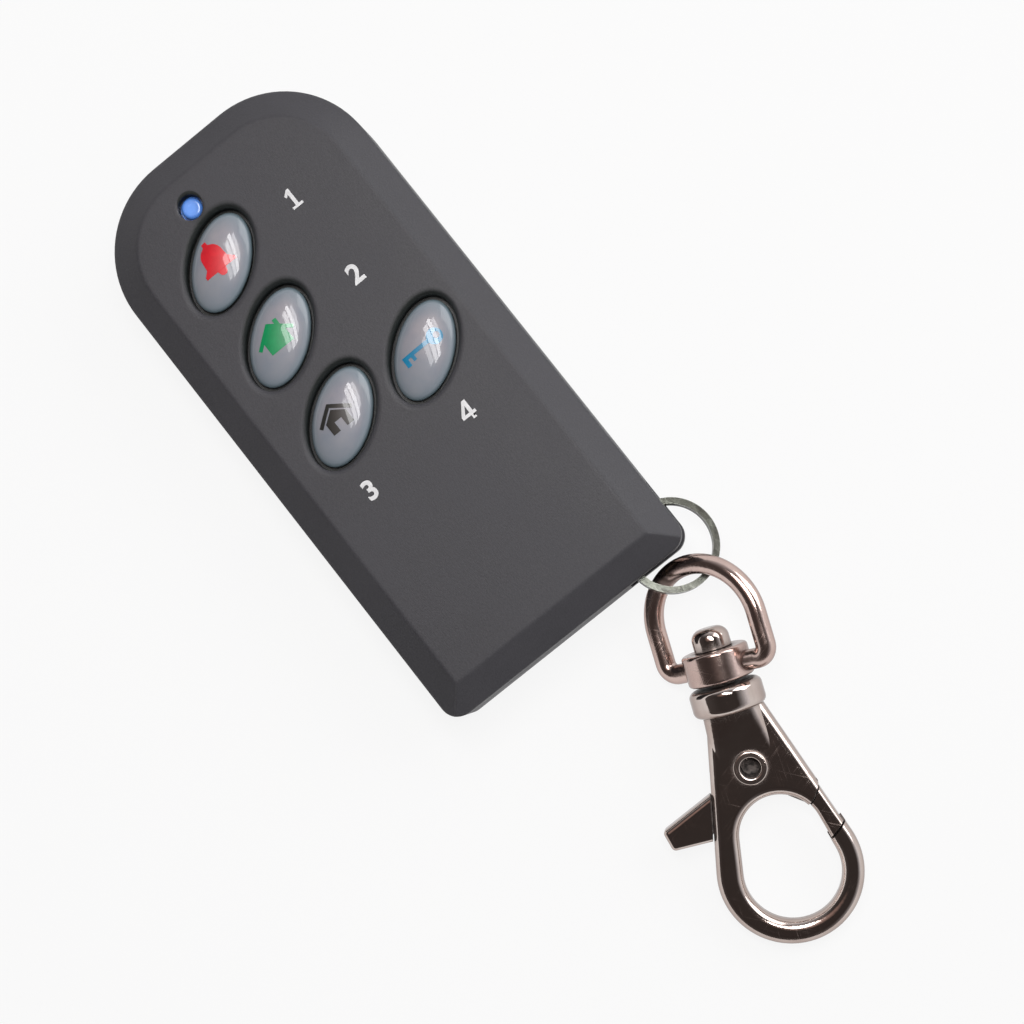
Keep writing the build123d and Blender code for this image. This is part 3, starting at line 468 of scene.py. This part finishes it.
def oval_at(tree, node, half_length, half_width, shift=(0.0, 0.0)):
    """The oval distance from a node's centre, or from a little beside it."""
    x, y = middle(node)
    return use_group(
        tree,
        oval_group,
        {
            "Centre": (x + shift[0], y + shift[1], 0.0),
            "Half length": half_length,
            "Half width": half_width,
            "Lean": dome_lean,
        },
    )


pearl_cold = (0.27, 0.27, 0.31, 1.0)
pearl_warm = (0.33, 0.31, 0.335, 1.0)
dome_side = (0.17, 0.235, 0.275, 1.0)
dome_rim_shade = (0.07, 0.125, 0.14, 1.0)


def pearl_dome(colour):
    """Pearl finish for one button's dome."""
    made, tree, shader = new_material("Pearl dome " + colour, 0.0, 0.75)
    shader.inputs["Specular IOR Level"].default_value = 0.25
    oval = oval_at(tree, colour + "_button_dome", dome_half_length, dome_half_width)
    texture = use_group(tree, grain_group, {"Grain size": 0.5 * mm, "Patch size": 2.5 * mm})
    pearl = blend_colours(tree, texture["Patches"], pearl_cold, pearl_warm)
    # Painted light: teal towards the edge and towards one end, for light bent by the clear dome.
    outer = stretch(tree, oval["Distance"], 0.60, 1.1)
    below = stretch(tree, oval["Along"], 0.3, -0.9, 0.0, 0.5)
    body = blend_colours(tree, maths(tree, "MAXIMUM", outer, below), pearl, dome_side)
    # Painted shade: the label darkens near the rim where the hole's wall shades it.
    rim = stretch(tree, oval["Distance"], 0.92, 1.0, 0.0, 0.6)
    tree.links.new(blend_colours(tree, rim, body, dome_rim_shade), shader.inputs["Base Color"])
    rough = stretch(tree, texture["Patches"], 0.0, 1.0, 0.28, 0.38)
    tree.links.new(rough, shader.inputs["Roughness"])
    bump(tree, shader, texture["Height"], 0.15, 0.01 * mm)
    return made


domes = {colour: pearl_dome(colour) for colour in ("red", "green", "black", "blue")}
print("dome finishes:", ", ".join(sorted(domes)))

# %% [markdown]
# ## Finish: indicator light
# The light is a clear blue rod whose flat end shows in a round hole. It is brighter in its middle,
# where the chip below shines through, and darker at the rim. The same oval distance, with two equal
# half sizes, draws that.

# %% Indicator light
light_radius = 1.3 * mm
lit_blue = (0.15, 0.38, 1.0, 1.0)
rim_blue = (0.11, 0.30, 0.88, 1.0)

lens, tree, shader = new_material("Indicator light", 0.0, 1.0)
oval = oval_at(tree, "indicator_light_pipe", light_radius, light_radius)
outward = stretch(tree, oval["Distance"], 0.35, 1.0)
tree.links.new(blend_colours(tree, outward, lit_blue, rim_blue), shader.inputs["Base Color"])
texture = use_group(tree, grain_group, {"Grain size": 0.3 * mm, "Patch size": 1.0 * mm})
tree.links.new(stretch(tree, texture["Patches"], 0.0, 1.0, 0.2, 0.3), shader.inputs["Roughness"])
bump(tree, shader, texture["Height"], 0.1, 0.01 * mm)
print("light finish:", lens.name)

# %% [markdown]
# ## Finish: painted shade round the holes
# The soft rims of the button holes and of the light's hole fall into shade on the side towards the
# rounded end, away from the light. The oval distance, from a centre that is shifted to that side,
# gives these crescents of painted shade. A plan has no height, so a second mask keeps them off the
# back.

# %% Painted shade round the holes
face_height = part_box("front_shell")[1][2]
crescent_shade_shift = (0.22 * mm, 0.43 * mm)
painted_crescent_shade = (0.006, 0.009, 0.008, 1.0)
button_reach = 0.95 * mm
light_reach = 0.3 * mm
mask_low = face_height - 2.0 * mm
mask_high = face_height - 1.0 * mm
crescent_patch_scale = 900.0

tree = plastics["casing_plastic"].node_tree
shader = tree.nodes["Principled BSDF"]
shader.inputs["Specular IOR Level"].default_value = 0.3
holes = [("indicator_light_pipe", light_radius, light_radius, light_reach)]
for colour in domes:
    holes.append((colour + "_button_dome", dome_half_length, dome_half_width, button_reach))
crescent_shade = 0.0
for name, half_length, half_width, reach in holes:
    oval = oval_at(tree, name, half_length + reach, half_width + reach, crescent_shade_shift)
    crescent_shade = maths(tree, "MAXIMUM", stretch(tree, oval["Distance"], 1.0, 0.90), crescent_shade)
place = add(tree, "ShaderNodeTexCoord").outputs["Object"]
height = add(tree, "ShaderNodeSeparateXYZ", {0: place}).outputs["Z"]
on_face = stretch(tree, height, mask_low, mask_high)
patchy = stretch(tree, noise(tree, place, crescent_patch_scale, 3.0), 0.2, 0.6, 0.85, 0.97)
crescent_shade = maths(tree, "MULTIPLY", maths(tree, "MULTIPLY", crescent_shade, patchy), on_face)
under = shader.inputs["Base Color"].links[0].from_socket
# Painted shade: darken the rims of the holes on the side towards the rounded end.
tree.links.new(blend_colours(tree, crescent_shade, under, painted_crescent_shade), shader.inputs["Base Color"])
print("rims in painted shade:", len(holes))

# %% [markdown]
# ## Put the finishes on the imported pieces
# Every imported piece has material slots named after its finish. The domes are the exception, because
# each one needs its own centre, and so are the two worn pieces. The meshes aren't touched, only
# what their slots hold.

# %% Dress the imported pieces
finishes = {**plastics, **metals, "board_laminate": board, "light_lens": lens}
dressed = {}
for name, piece in nodes.items():
    kind = piece.material_slots[0].material.name.split(".")[0]
    if kind == "button_pearl":
        finish = domes[name.split("_")[0]]
    else:
        finish = worn_metals.get(name, finishes[kind])
    for slot in piece.material_slots:
        slot.material = finish
    dressed[kind] = dressed.get(kind, 0) + 1
print("pieces by finish:", dressed)

# %% [markdown]
# ## Printed marks
# A mark is a thin film of ink. Each one starts as a flat filled outline. One tree of geometry nodes
# then cuts it finely, drops every point on to the surface below, which is an oval dome or, with a
# dome height of nothing, a plane, and gives the film its thickness and its two faces. The tree has
# named inputs, so icons and numbers share it.

# %% Tree for a printed mark
weld_distance = 1e-7
crease_angle = math.radians(35)


def print_tree():
    """Geometry nodes that lay a flat outline on an oval dome as a thin closed film."""
    tree = bpy.data.node_groups.new("Print on a dome", "GeometryNodeTree")
    sockets = {
        "Outline": "Geometry", "Centre": "Vector", "Lean": "Float",
        "Half length": "Float", "Half width": "Float", "Dome height": "Float",
        "Foot": "Float", "Thickness": "Float", "Cuts": "Int", "Ink": "Material",
    }
    for label, kind in sockets.items():
        tree.interface.new_socket(label, in_out="INPUT", socket_type="NodeSocket" + kind)
    tree.interface.new_socket("Film", in_out="OUTPUT", socket_type="NodeSocketGeometry")
    given = tree.nodes.new("NodeGroupInput").outputs
    wanted = tree.nodes.new("NodeGroupOutput").inputs

    inputs = {"Mesh": given["Outline"], "Level": given["Cuts"]}
    cut = add(tree, "GeometryNodeSubdivideMesh", inputs).outputs[0]
    place = add(tree, "GeometryNodeInputPosition").outputs[0]
    offset = vectors(tree, "SUBTRACT", place, given["Centre"])[0]
    upright = turn_in_plan(tree, offset, given["Lean"])
    parts = add(tree, "ShaderNodeSeparateXYZ", {0: upright}).outputs
    across = maths(tree, "POWER", maths(tree, "DIVIDE", parts["X"], given["Half width"]), 2.0)
    along = maths(tree, "POWER", maths(tree, "DIVIDE", parts["Y"], given["Half length"]), 2.0)
    left = maths(tree, "SUBTRACT", maths(tree, "SUBTRACT", 1.0, across), along, clamp=True)
    rise = maths(tree, "MULTIPLY", maths(tree, "SQRT", left), given["Dome height"])
    flat = add(tree, "ShaderNodeSeparateXYZ", {0: place}).outputs
    height = maths(tree, "ADD", rise, given["Foot"])
    inputs = {"X": flat["X"], "Y": flat["Y"], "Z": height}
    laid_at = add(tree, "ShaderNodeCombineXYZ", inputs).outputs[0]
    laid = add(tree, "GeometryNodeSetPosition", {"Geometry": cut, "Position": laid_at}).outputs[0]
    inputs = {"Mesh": laid, "Offset Scale": given["Thickness"], "Individual": False}
    raised = add(tree, "GeometryNodeExtrudeMesh", inputs).outputs[0]
    under = add(tree, "GeometryNodeFlipFaces", {"Mesh": laid}).outputs[0]
    both = add(tree, "GeometryNodeJoinGeometry")
    tree.links.new(raised, both.inputs[0])
    tree.links.new(under, both.inputs[0])
    inputs = {"Geometry": both.outputs[0], "Distance": weld_distance}
    closed = add(tree, "GeometryNodeMergeByDistance", inputs).outputs[0]
    angle = add(tree, "GeometryNodeInputMeshEdgeAngle").outputs[0]
    sharp = maths(tree, "GREATER_THAN", angle, crease_angle)
    inputs = {"Geometry": closed, "Shade Smooth": True}
    smooth = add(tree, "GeometryNodeSetShadeSmooth", inputs, domain="FACE").outputs[0]
    inputs = {"Geometry": smooth, "Selection": sharp, "Shade Smooth": False}
    crisp = add(tree, "GeometryNodeSetShadeSmooth", inputs, domain="EDGE").outputs[0]
    real = add(tree, "GeometryNodeRealizeInstances", {"Geometry": crisp}).outputs[0]
    inputs = {"Geometry": real, "Material": given["Ink"]}
    inked = add(tree, "GeometryNodeSetMaterial", inputs).outputs[0]
    tree.links.new(inked, wanted["Film"])
    return tree


marks_tree = print_tree()
print("inputs:", [item.name for item in marks_tree.interface.items_tree if item.in_out == "INPUT"])

# %% [markdown]
# ## From a flat drawing to a film
# Blender fills flat closed curves by itself and leaves holes open, which a polygon can't do. So a
# drawing is a flat curve first, or a text curve for the numbers. It becomes a mesh, moves to its
# place, and then gets the tree above. The result is stored as a plain mesh, because the export
# needs one.

# %% Film maker
def final_mesh(thing):
    """Plain mesh of an object as its curve settings and modifiers leave it."""
    bpy.context.view_layer.update()
    state = bpy.context.evaluated_depsgraph_get()
    return bpy.data.meshes.new_from_object(thing.evaluated_get(state))


def flat_mesh(curve):
    """Turn a flat curve or text into a filled mesh that faces up."""
    holder = bpy.data.objects.new("drawing", curve)
    bpy.context.scene.collection.objects.link(holder)
    mesh = final_mesh(holder)
    bpy.data.objects.remove(holder)
    if mesh.polygons[0].normal.z < 0:
        mesh.flip_normals()
    mesh.materials.clear()
    return mesh


def drawing(outlines):
    """Flat filled mesh from closed outlines in millimetres. One inside another is a hole."""
    curve = bpy.data.curves.new("drawing", "CURVE")
    curve.dimensions = "2D"
    curve.fill_mode = "FRONT"
    for outline in outlines:
        spline = curve.splines.new("POLY")
        spline.points.add(len(outline) - 1)
        for point, (x, y) in zip(spline.points, outline):
            point.co = (x * mm, y * mm, 0.0, 1.0)
        spline.use_cyclic_u = True
    return flat_mesh(curve)


bolder = 0.028


def written(text):
    """Flat bold text in Blender's own font."""
    curve = bpy.data.curves.new("number", "FONT")
    curve.body = text
    curve.offset = bolder
    curve.fill_mode = "FRONT"
    return flat_mesh(curve)


def sized(mesh, height):
    """Bring a flat mesh to a height, its middle at the origin."""
    low = [min(v.co[i] for v in mesh.vertices) for i in range(2)]
    high = [max(v.co[i] for v in mesh.vertices) for i in range(2)]
    size = height / (high[1] - low[1])
    centre = Vector(((low[0] + high[0]) / 2, (low[1] + high[1]) / 2, 0.0))
    mesh.transform(Matrix.Scale(size, 4) @ Matrix.Translation(-centre))
    return mesh


def film(name, mesh, place, body, slot, **inputs):
    """Lay a flat mesh on its surface as a film of ink, and let it ride on its body."""
    mesh.transform(Matrix.Translation((place[0], place[1], 0.0)))
    piece = bpy.data.objects.new(name, mesh)
    bpy.context.scene.collection.objects.link(piece)
    modifier = piece.modifiers.new("Print", "NODES")
    modifier.node_group = marks_tree
    for item in marks_tree.interface.items_tree:
        if item.in_out == "INPUT" and item.name in inputs:
            modifier[item.identifier] = inputs[item.name]
    done = final_mesh(piece)
    piece.modifiers.remove(modifier)
    piece.data = done
    done.name = name
    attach(piece, body)
    return piece


print("film maker ready")

# %% [markdown]
# ## Inks
# Screen printing lays down an opaque ink with a faint mesh pattern and uneven density. The icons
# stand for print that is seen through a clear dome, so they have a clear coat. The numbers on the
# casing are bare white ink, slightly rough.

# %% Ink finishes
thin_ink = 0.82


def ink(name, colour, roughness, coat):
    """Opaque printing ink with faint density changes."""
    made, tree, shader = new_material(name, 0.0, coat)
    texture = use_group(tree, grain_group, {"Grain size": 0.12 * mm, "Patch size": 1.2 * mm})
    body = blend_colours(tree, texture["Patches"], shade(colour, thin_ink), shade(colour))
    tree.links.new(body, shader.inputs["Base Color"])
    rough = stretch(tree, texture["Height"], 0.2, 0.8, roughness - 0.06, roughness + 0.06)
    tree.links.new(rough, shader.inputs["Roughness"])
    bump(tree, shader, texture["Height"], 0.2, 0.005 * mm)
    return made


inks = {
    "red": ink("Red ink", (0.75, 0.016, 0.03), 0.35, 1.0),
    "green": ink("Green ink", (0.0, 0.30, 0.10), 0.35, 1.0),
    "black": ink("Black ink", (0.022, 0.022, 0.02), 0.35, 1.0),
    "blue": ink("Blue ink", (0.01, 0.23, 0.42), 0.35, 1.0),
    "white": ink("White ink", (0.80, 0.80, 0.81), 0.5, 0.0),
}
print("inks:", ", ".join(inks))

# %% [markdown]
# ## Icons under the domes
# Four generic pictograms tell the buttons apart: an alarm bell, a house, a house with its door open
# and its roof lifted, and a key. They are drawn upright in the casing's frame, in millimetres round
# their own middle.

# %% Icons
def mirrored(right_side):
    """Close an outline by mirroring its right side, listed from top to bottom."""
    return right_side + [(-x, y) for x, y in reversed(right_side)]


def arc(centre, radius, start, end, steps=24):
    """Points on an arc, angles in degrees."""
    angles = [math.radians(start + (end - start) * i / steps) for i in range(steps + 1)]
    return [(centre[0] + radius * math.cos(a), centre[1] + radius * math.sin(a)) for a in angles]


bell_cup = arc((0.0, 0.45), 1.45, 68, 0, 10) + [(1.55, -0.55), (2.2, -1.15), (2.2, -1.5)]
bell_knob = [(0.32, 2.4), (0.32, 1.95)]
bell_clapper = [(0.62, -1.5), (0.45, -2.05), (0.18, -2.25)]
bell = [mirrored(bell_knob + bell_cup + bell_clapper)]
house = [[
    (0.0, 1.75), (0.85, 1.1), (0.85, 1.6), (1.4, 1.6), (1.4, 0.68), (2.65, -0.3), (2.35, -0.68),
    (1.6, -0.1), (1.6, -1.75), (-1.6, -1.75), (-1.6, -0.1), (-2.35, -0.68), (-2.65, -0.3),
]]
open_house = [
    mirrored([(0.0, 1.8), (2.45, -0.02), (2.15, -0.42), (0.0, 1.2)]),
    mirrored([(0.0, 0.95), (1.5, -0.15), (1.5, -1.75), (0.5, -1.75), (0.5, -0.55)]),
]
key_bow = arc((1.85, 0.1), 1.0, 165.5, -165.5, 36)
key_teeth = [
    (-1.35, -0.15), (-1.35, -0.75), (-1.8, -0.75), (-1.8, -0.15),
    (-2.25, -0.15), (-2.25, -0.98), (-2.85, -0.98), (-2.85, 0.35),
]
key = [key_bow + key_teeth, arc((2.1, 0.1), 0.40, 0, 345, 23)]
icons = {
    "red": ("bell", bell, (-0.3, 0.6)),
    "green": ("house", house, (-0.3, 0.4)),
    "black": ("open_house", open_house, (-0.5, 0.4)),
    "blue": ("key", key, (0.1, 0.3)),
}
film_thickness = 0.02 * mm
film_lift = 0.01 * mm
icon_cuts = 4

for colour, (title, outlines, shift) in icons.items():
    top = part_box(colour + "_button_dome")[1][2]
    centre = middle(colour + "_button_dome")
    place = (centre[0] + shift[0] * mm, centre[1] + shift[1] * mm)
    piece = film(
        colour + "_icon_" + title, drawing(outlines), place, colour + "_button", "ink_" + colour,
        **{
            "Centre": (*centre, 0.0),
            "Lean": dome_lean,
            "Half length": dome_half_length,
            "Half width": dome_half_width,
            "Dome height": dome_height,
            "Foot": top - dome_height + film_lift,
            "Thickness": film_thickness,
            "Cuts": icon_cuts,
            "Ink": inks[colour],
        },
    )
    print(piece.name, "faces:", len(piece.data.polygons))

# %% [markdown]
# ## Numbers beside the buttons
# Beside each button the casing carries white print. Plain numbers from 1 to 4 stand there. They use
# the same tree with no dome height, so the film lies flat on the face. Blender's own font gives 2
# and 3. Its 1 is a bare bar and its 4 fills up when it is made bold, so those two are drawn.

# %% Numbers
number_height = 2.5 * mm
number_lift = 0.002 * mm
number_places = {"1": (6.0, 23.05), "2": (6.25, 11.35), "3": (-8.05, -9.7), "4": (6.5, -9.6)}
drawn_one = [[
    (-0.62, 0.62), (0.0, 1.15), (0.28, 1.15), (0.28, -0.85), (0.72, -0.85), (0.72, -1.15),
    (-0.62, -1.15), (-0.62, -0.85), (-0.14, -0.85), (-0.14, 0.62), (-0.46, 0.35),
]]
drawn_four = [
    [
        (0.15, 1.15), (0.58, 1.15), (0.58, -0.32), (0.88, -0.32), (0.88, -0.68), (0.58, -0.68),
        (0.58, -1.15), (0.15, -1.15), (0.15, -0.68), (-0.88, -0.68), (-0.88, -0.30),
    ],
    [(0.15, 0.55), (0.15, -0.32), (-0.42, -0.32)],
]
drawn = {"1": drawn_one, "4": drawn_four}

for text, (x, y) in number_places.items():
    flat = drawing(drawn[text]) if text in drawn else written(text)
    piece = film(
        "number_" + text, sized(flat, number_height), (x * mm, y * mm), "casing", "ink_white",
        **{
            "Centre": (0.0, 0.0, 0.0),
            "Lean": 0.0,
            "Half length": 1.0,
            "Half width": 1.0,
            "Dome height": 0.0,
            "Foot": face_height + number_lift,
            "Thickness": film_thickness,
            "Cuts": 0,
            "Ink": inks["white"],
        },
    )
    print(piece.name, "faces:", len(piece.data.polygons))

# %% [markdown]
# ## Floor and backdrop
# The stage is one pale sheet that curves up far away, like a sweep in a photo studio. Seen directly
# it is nearly white, and a share of its own diffuse shading stays in, so that the object keeps its
# soft shadow.

# %% Floor
def sweep_mesh(flat_radius, curve_radius, wall_height, steps=96, curve_steps=12):
    """Round floor that curves up into a low wall, facing inwards."""
    profile = [(flat_radius, 0.0)]
    for i in range(1, curve_steps + 1):
        angle = math.radians(90 * i / curve_steps)
        across = flat_radius + curve_radius * math.sin(angle)
        profile.append((across, curve_radius * (1 - math.cos(angle))))
    profile.append((flat_radius + curve_radius, wall_height))
    points = [(0.0, 0.0, 0.0)]
    faces = []
    for ring, (radius, height) in enumerate(profile):
        for i in range(steps):
            angle = 2 * math.pi * i / steps
            points.append((radius * math.cos(angle), radius * math.sin(angle), height))
        for i in range(steps):
            here, there = 1 + ring * steps + i, 1 + ring * steps + (i + 1) % steps
            quad = (here - steps, here, there, there - steps)
            faces.append((0, here, there) if ring == 0 else quad)
    mesh = bpy.data.meshes.new("floor")
    mesh.from_pydata(points, [], faces)
    mesh.shade_smooth()
    return mesh


white_share = 0.88
sweep = sweep_mesh(flat_radius=1.3, curve_radius=0.3, wall_height=0.6)
floor = bpy.data.objects.new("floor", sweep)
bpy.context.scene.collection.objects.link(floor)
paper = bpy.data.materials.new("Pale paper")
paper.use_nodes = True
tree = paper.node_tree
shader = tree.nodes["Principled BSDF"]
shader.inputs["Base Color"].default_value = (0.70, 0.70, 0.70, 1.0)
shader.inputs["Roughness"].default_value = 0.9
shader.inputs["Specular IOR Level"].default_value = 0.0
white = add(tree, "ShaderNodeEmission", {"Color": (1.0, 1.0, 1.0, 1.0), "Strength": 1.0}).outputs[0]
rays = add(tree, "ShaderNodeLightPath").outputs
seen = maths(tree, "MAXIMUM", rays["Is Camera Ray"], rays["Is Glossy Ray"])
seen = maths(tree, "MAXIMUM", seen, rays["Is Transmission Ray"])
share = maths(tree, "MULTIPLY", seen, white_share)
both = add(tree, "ShaderNodeMixShader", {0: share, 1: shader.outputs[0], 2: white}).outputs[0]
tree.links.new(both, tree.nodes["Material Output"].inputs["Surface"])
floor.data.materials.append(paper)
print("floor faces:", len(floor.data.polygons))

# %% [markdown]
# ## Light
# The photograph has a window-like light nearly overhead, which draws a slanted, streaky patch on
# every dome, and a room that is brighter on the casing's right side, which shows in its bevels and
# in the nickel. Four narrow area lamps of different strength side by side stand for the window, one
# large lamp fills from the right, and the world is a plain gradient from one side to the other
# under a dark ceiling with a warm spot.

# %% Lamps
view_right = Vector((0.77820, -0.61604, -0.12209))
view_up = Vector((0.62377, 0.78077, 0.03630))
view_forward = Vector((-0.07302, 0.10438, -0.99186))
flat_right = Vector((view_right.x, view_right.y, 0.0)).normalized()
flat_up = Vector((-flat_right.y, flat_right.x, 0.0))
overhead = Vector((0.0, 0.0, 1.0))
aim = Vector((2.47 * mm, -20.82 * mm, 0.0))


def lamp(name, right, up, height, size, power, turn=0.0):
    """Area lamp at an offset in the photograph's own right and up, pointing at the object."""
    place = aim + flat_right * right + flat_up * up + overhead * height
    data = bpy.data.lights.new(name, "AREA")
    data.shape = "RECTANGLE"
    data.size, data.size_y = size
    data.energy = power
    made = bpy.data.objects.new(name, data)
    back = (place - aim).normalized()
    side = flat_right - back * flat_right.dot(back)
    side.normalize()
    turned = Matrix.Rotation(math.radians(turn), 3, back) @ side
    axes = Matrix((turned, back.cross(turned), back)).transposed().to_4x4()
    made.matrix_world = Matrix.Translation(place) @ axes
    bpy.context.scene.collection.objects.link(made)


strip_lengths = (0.17, 0.25, 0.27, 0.20)
strip_shares = (0.6, 1.0, 1.35, 0.7)
strip_width = 0.028
strip_pitch = 0.034
strip_turn = -41
window_power = 0.80
window_height = 0.35
window_right, window_up = 0.018, 0.076
step_right, step_up = 0.66, 0.75
for i, length in enumerate(strip_lengths):
    step = i - (len(strip_lengths) - 1) / 2
    right = window_right + step_right * strip_pitch * step
    up = window_up + step_up * strip_pitch * step
    size = (length, strip_width)
    power = window_power * length * strip_shares[i] / sum(strip_lengths)
    lamp("Window strip " + str(i + 1), right, up, window_height, size, power, strip_turn)
lamp("Side fill", right=0.42, up=0.36, height=0.34, size=(0.60, 0.45), power=2.2)

# %% World
dark_side = (0.075, 0.066, 0.064, 1.0)
bright_side = (0.95, 0.96, 1.0, 1.0)
ceiling = (0.045, 0.038, 0.036, 1.0)
warm_light = (0.42, 0.29, 0.25, 1.0)

world = bpy.data.worlds.new("Room")
world.use_nodes = True
bpy.context.scene.world = world
tree = world.node_tree
direction = add(tree, "ShaderNodeTexCoord").outputs["Generated"]


def facing(towards, low, high):
    """Share that grows as a direction turns towards a given one."""
    inputs = {0: direction, 1: tuple(towards.normalized())}
    along = add(tree, "ShaderNodeVectorMath", inputs, operation="DOT_PRODUCT").outputs["Value"]
    return stretch(tree, along, low, high)


room = blend_colours(tree, facing(flat_right + 0.8 * flat_up, -0.3, 0.9), dark_side, bright_side)
room = blend_colours(tree, facing(overhead, 0.45, 0.85), room, ceiling)
warm_spot = facing(overhead + 0.22 * flat_up - 0.12 * flat_right, 0.90, 0.99)
room = blend_colours(tree, warm_spot, room, warm_light)
tree.links.new(room, tree.nodes["Background"].inputs["Color"])
print("world:", world.name)

# %% [markdown]
# ## Camera
# The camera was found by matching the casing's corners, the four domes and the light with the
# photograph. It looks down on the remote from about 29 cm, turned so that the casing runs from the
# upper left to the lower right.

# %% Camera
camera_place = Vector((23.634 * mm, -51.103 * mm, 287.651 * mm))

camera_data = bpy.data.cameras.new("Camera")
camera_data.sensor_width = 36.0
camera_data.lens = 84.375
camera_data.clip_start = 0.01
camera = bpy.data.objects.new("Camera", camera_data)
turn = Matrix((view_right, view_up, -view_forward)).transposed().to_4x4()
camera.matrix_world = Matrix.Translation(camera_place) @ turn
bpy.context.scene.collection.objects.link(camera)
bpy.context.scene.camera = camera
bpy.context.scene.view_settings.view_transform = "Standard"
print("camera at", [round(value, 4) for value in camera.matrix_world.translation])
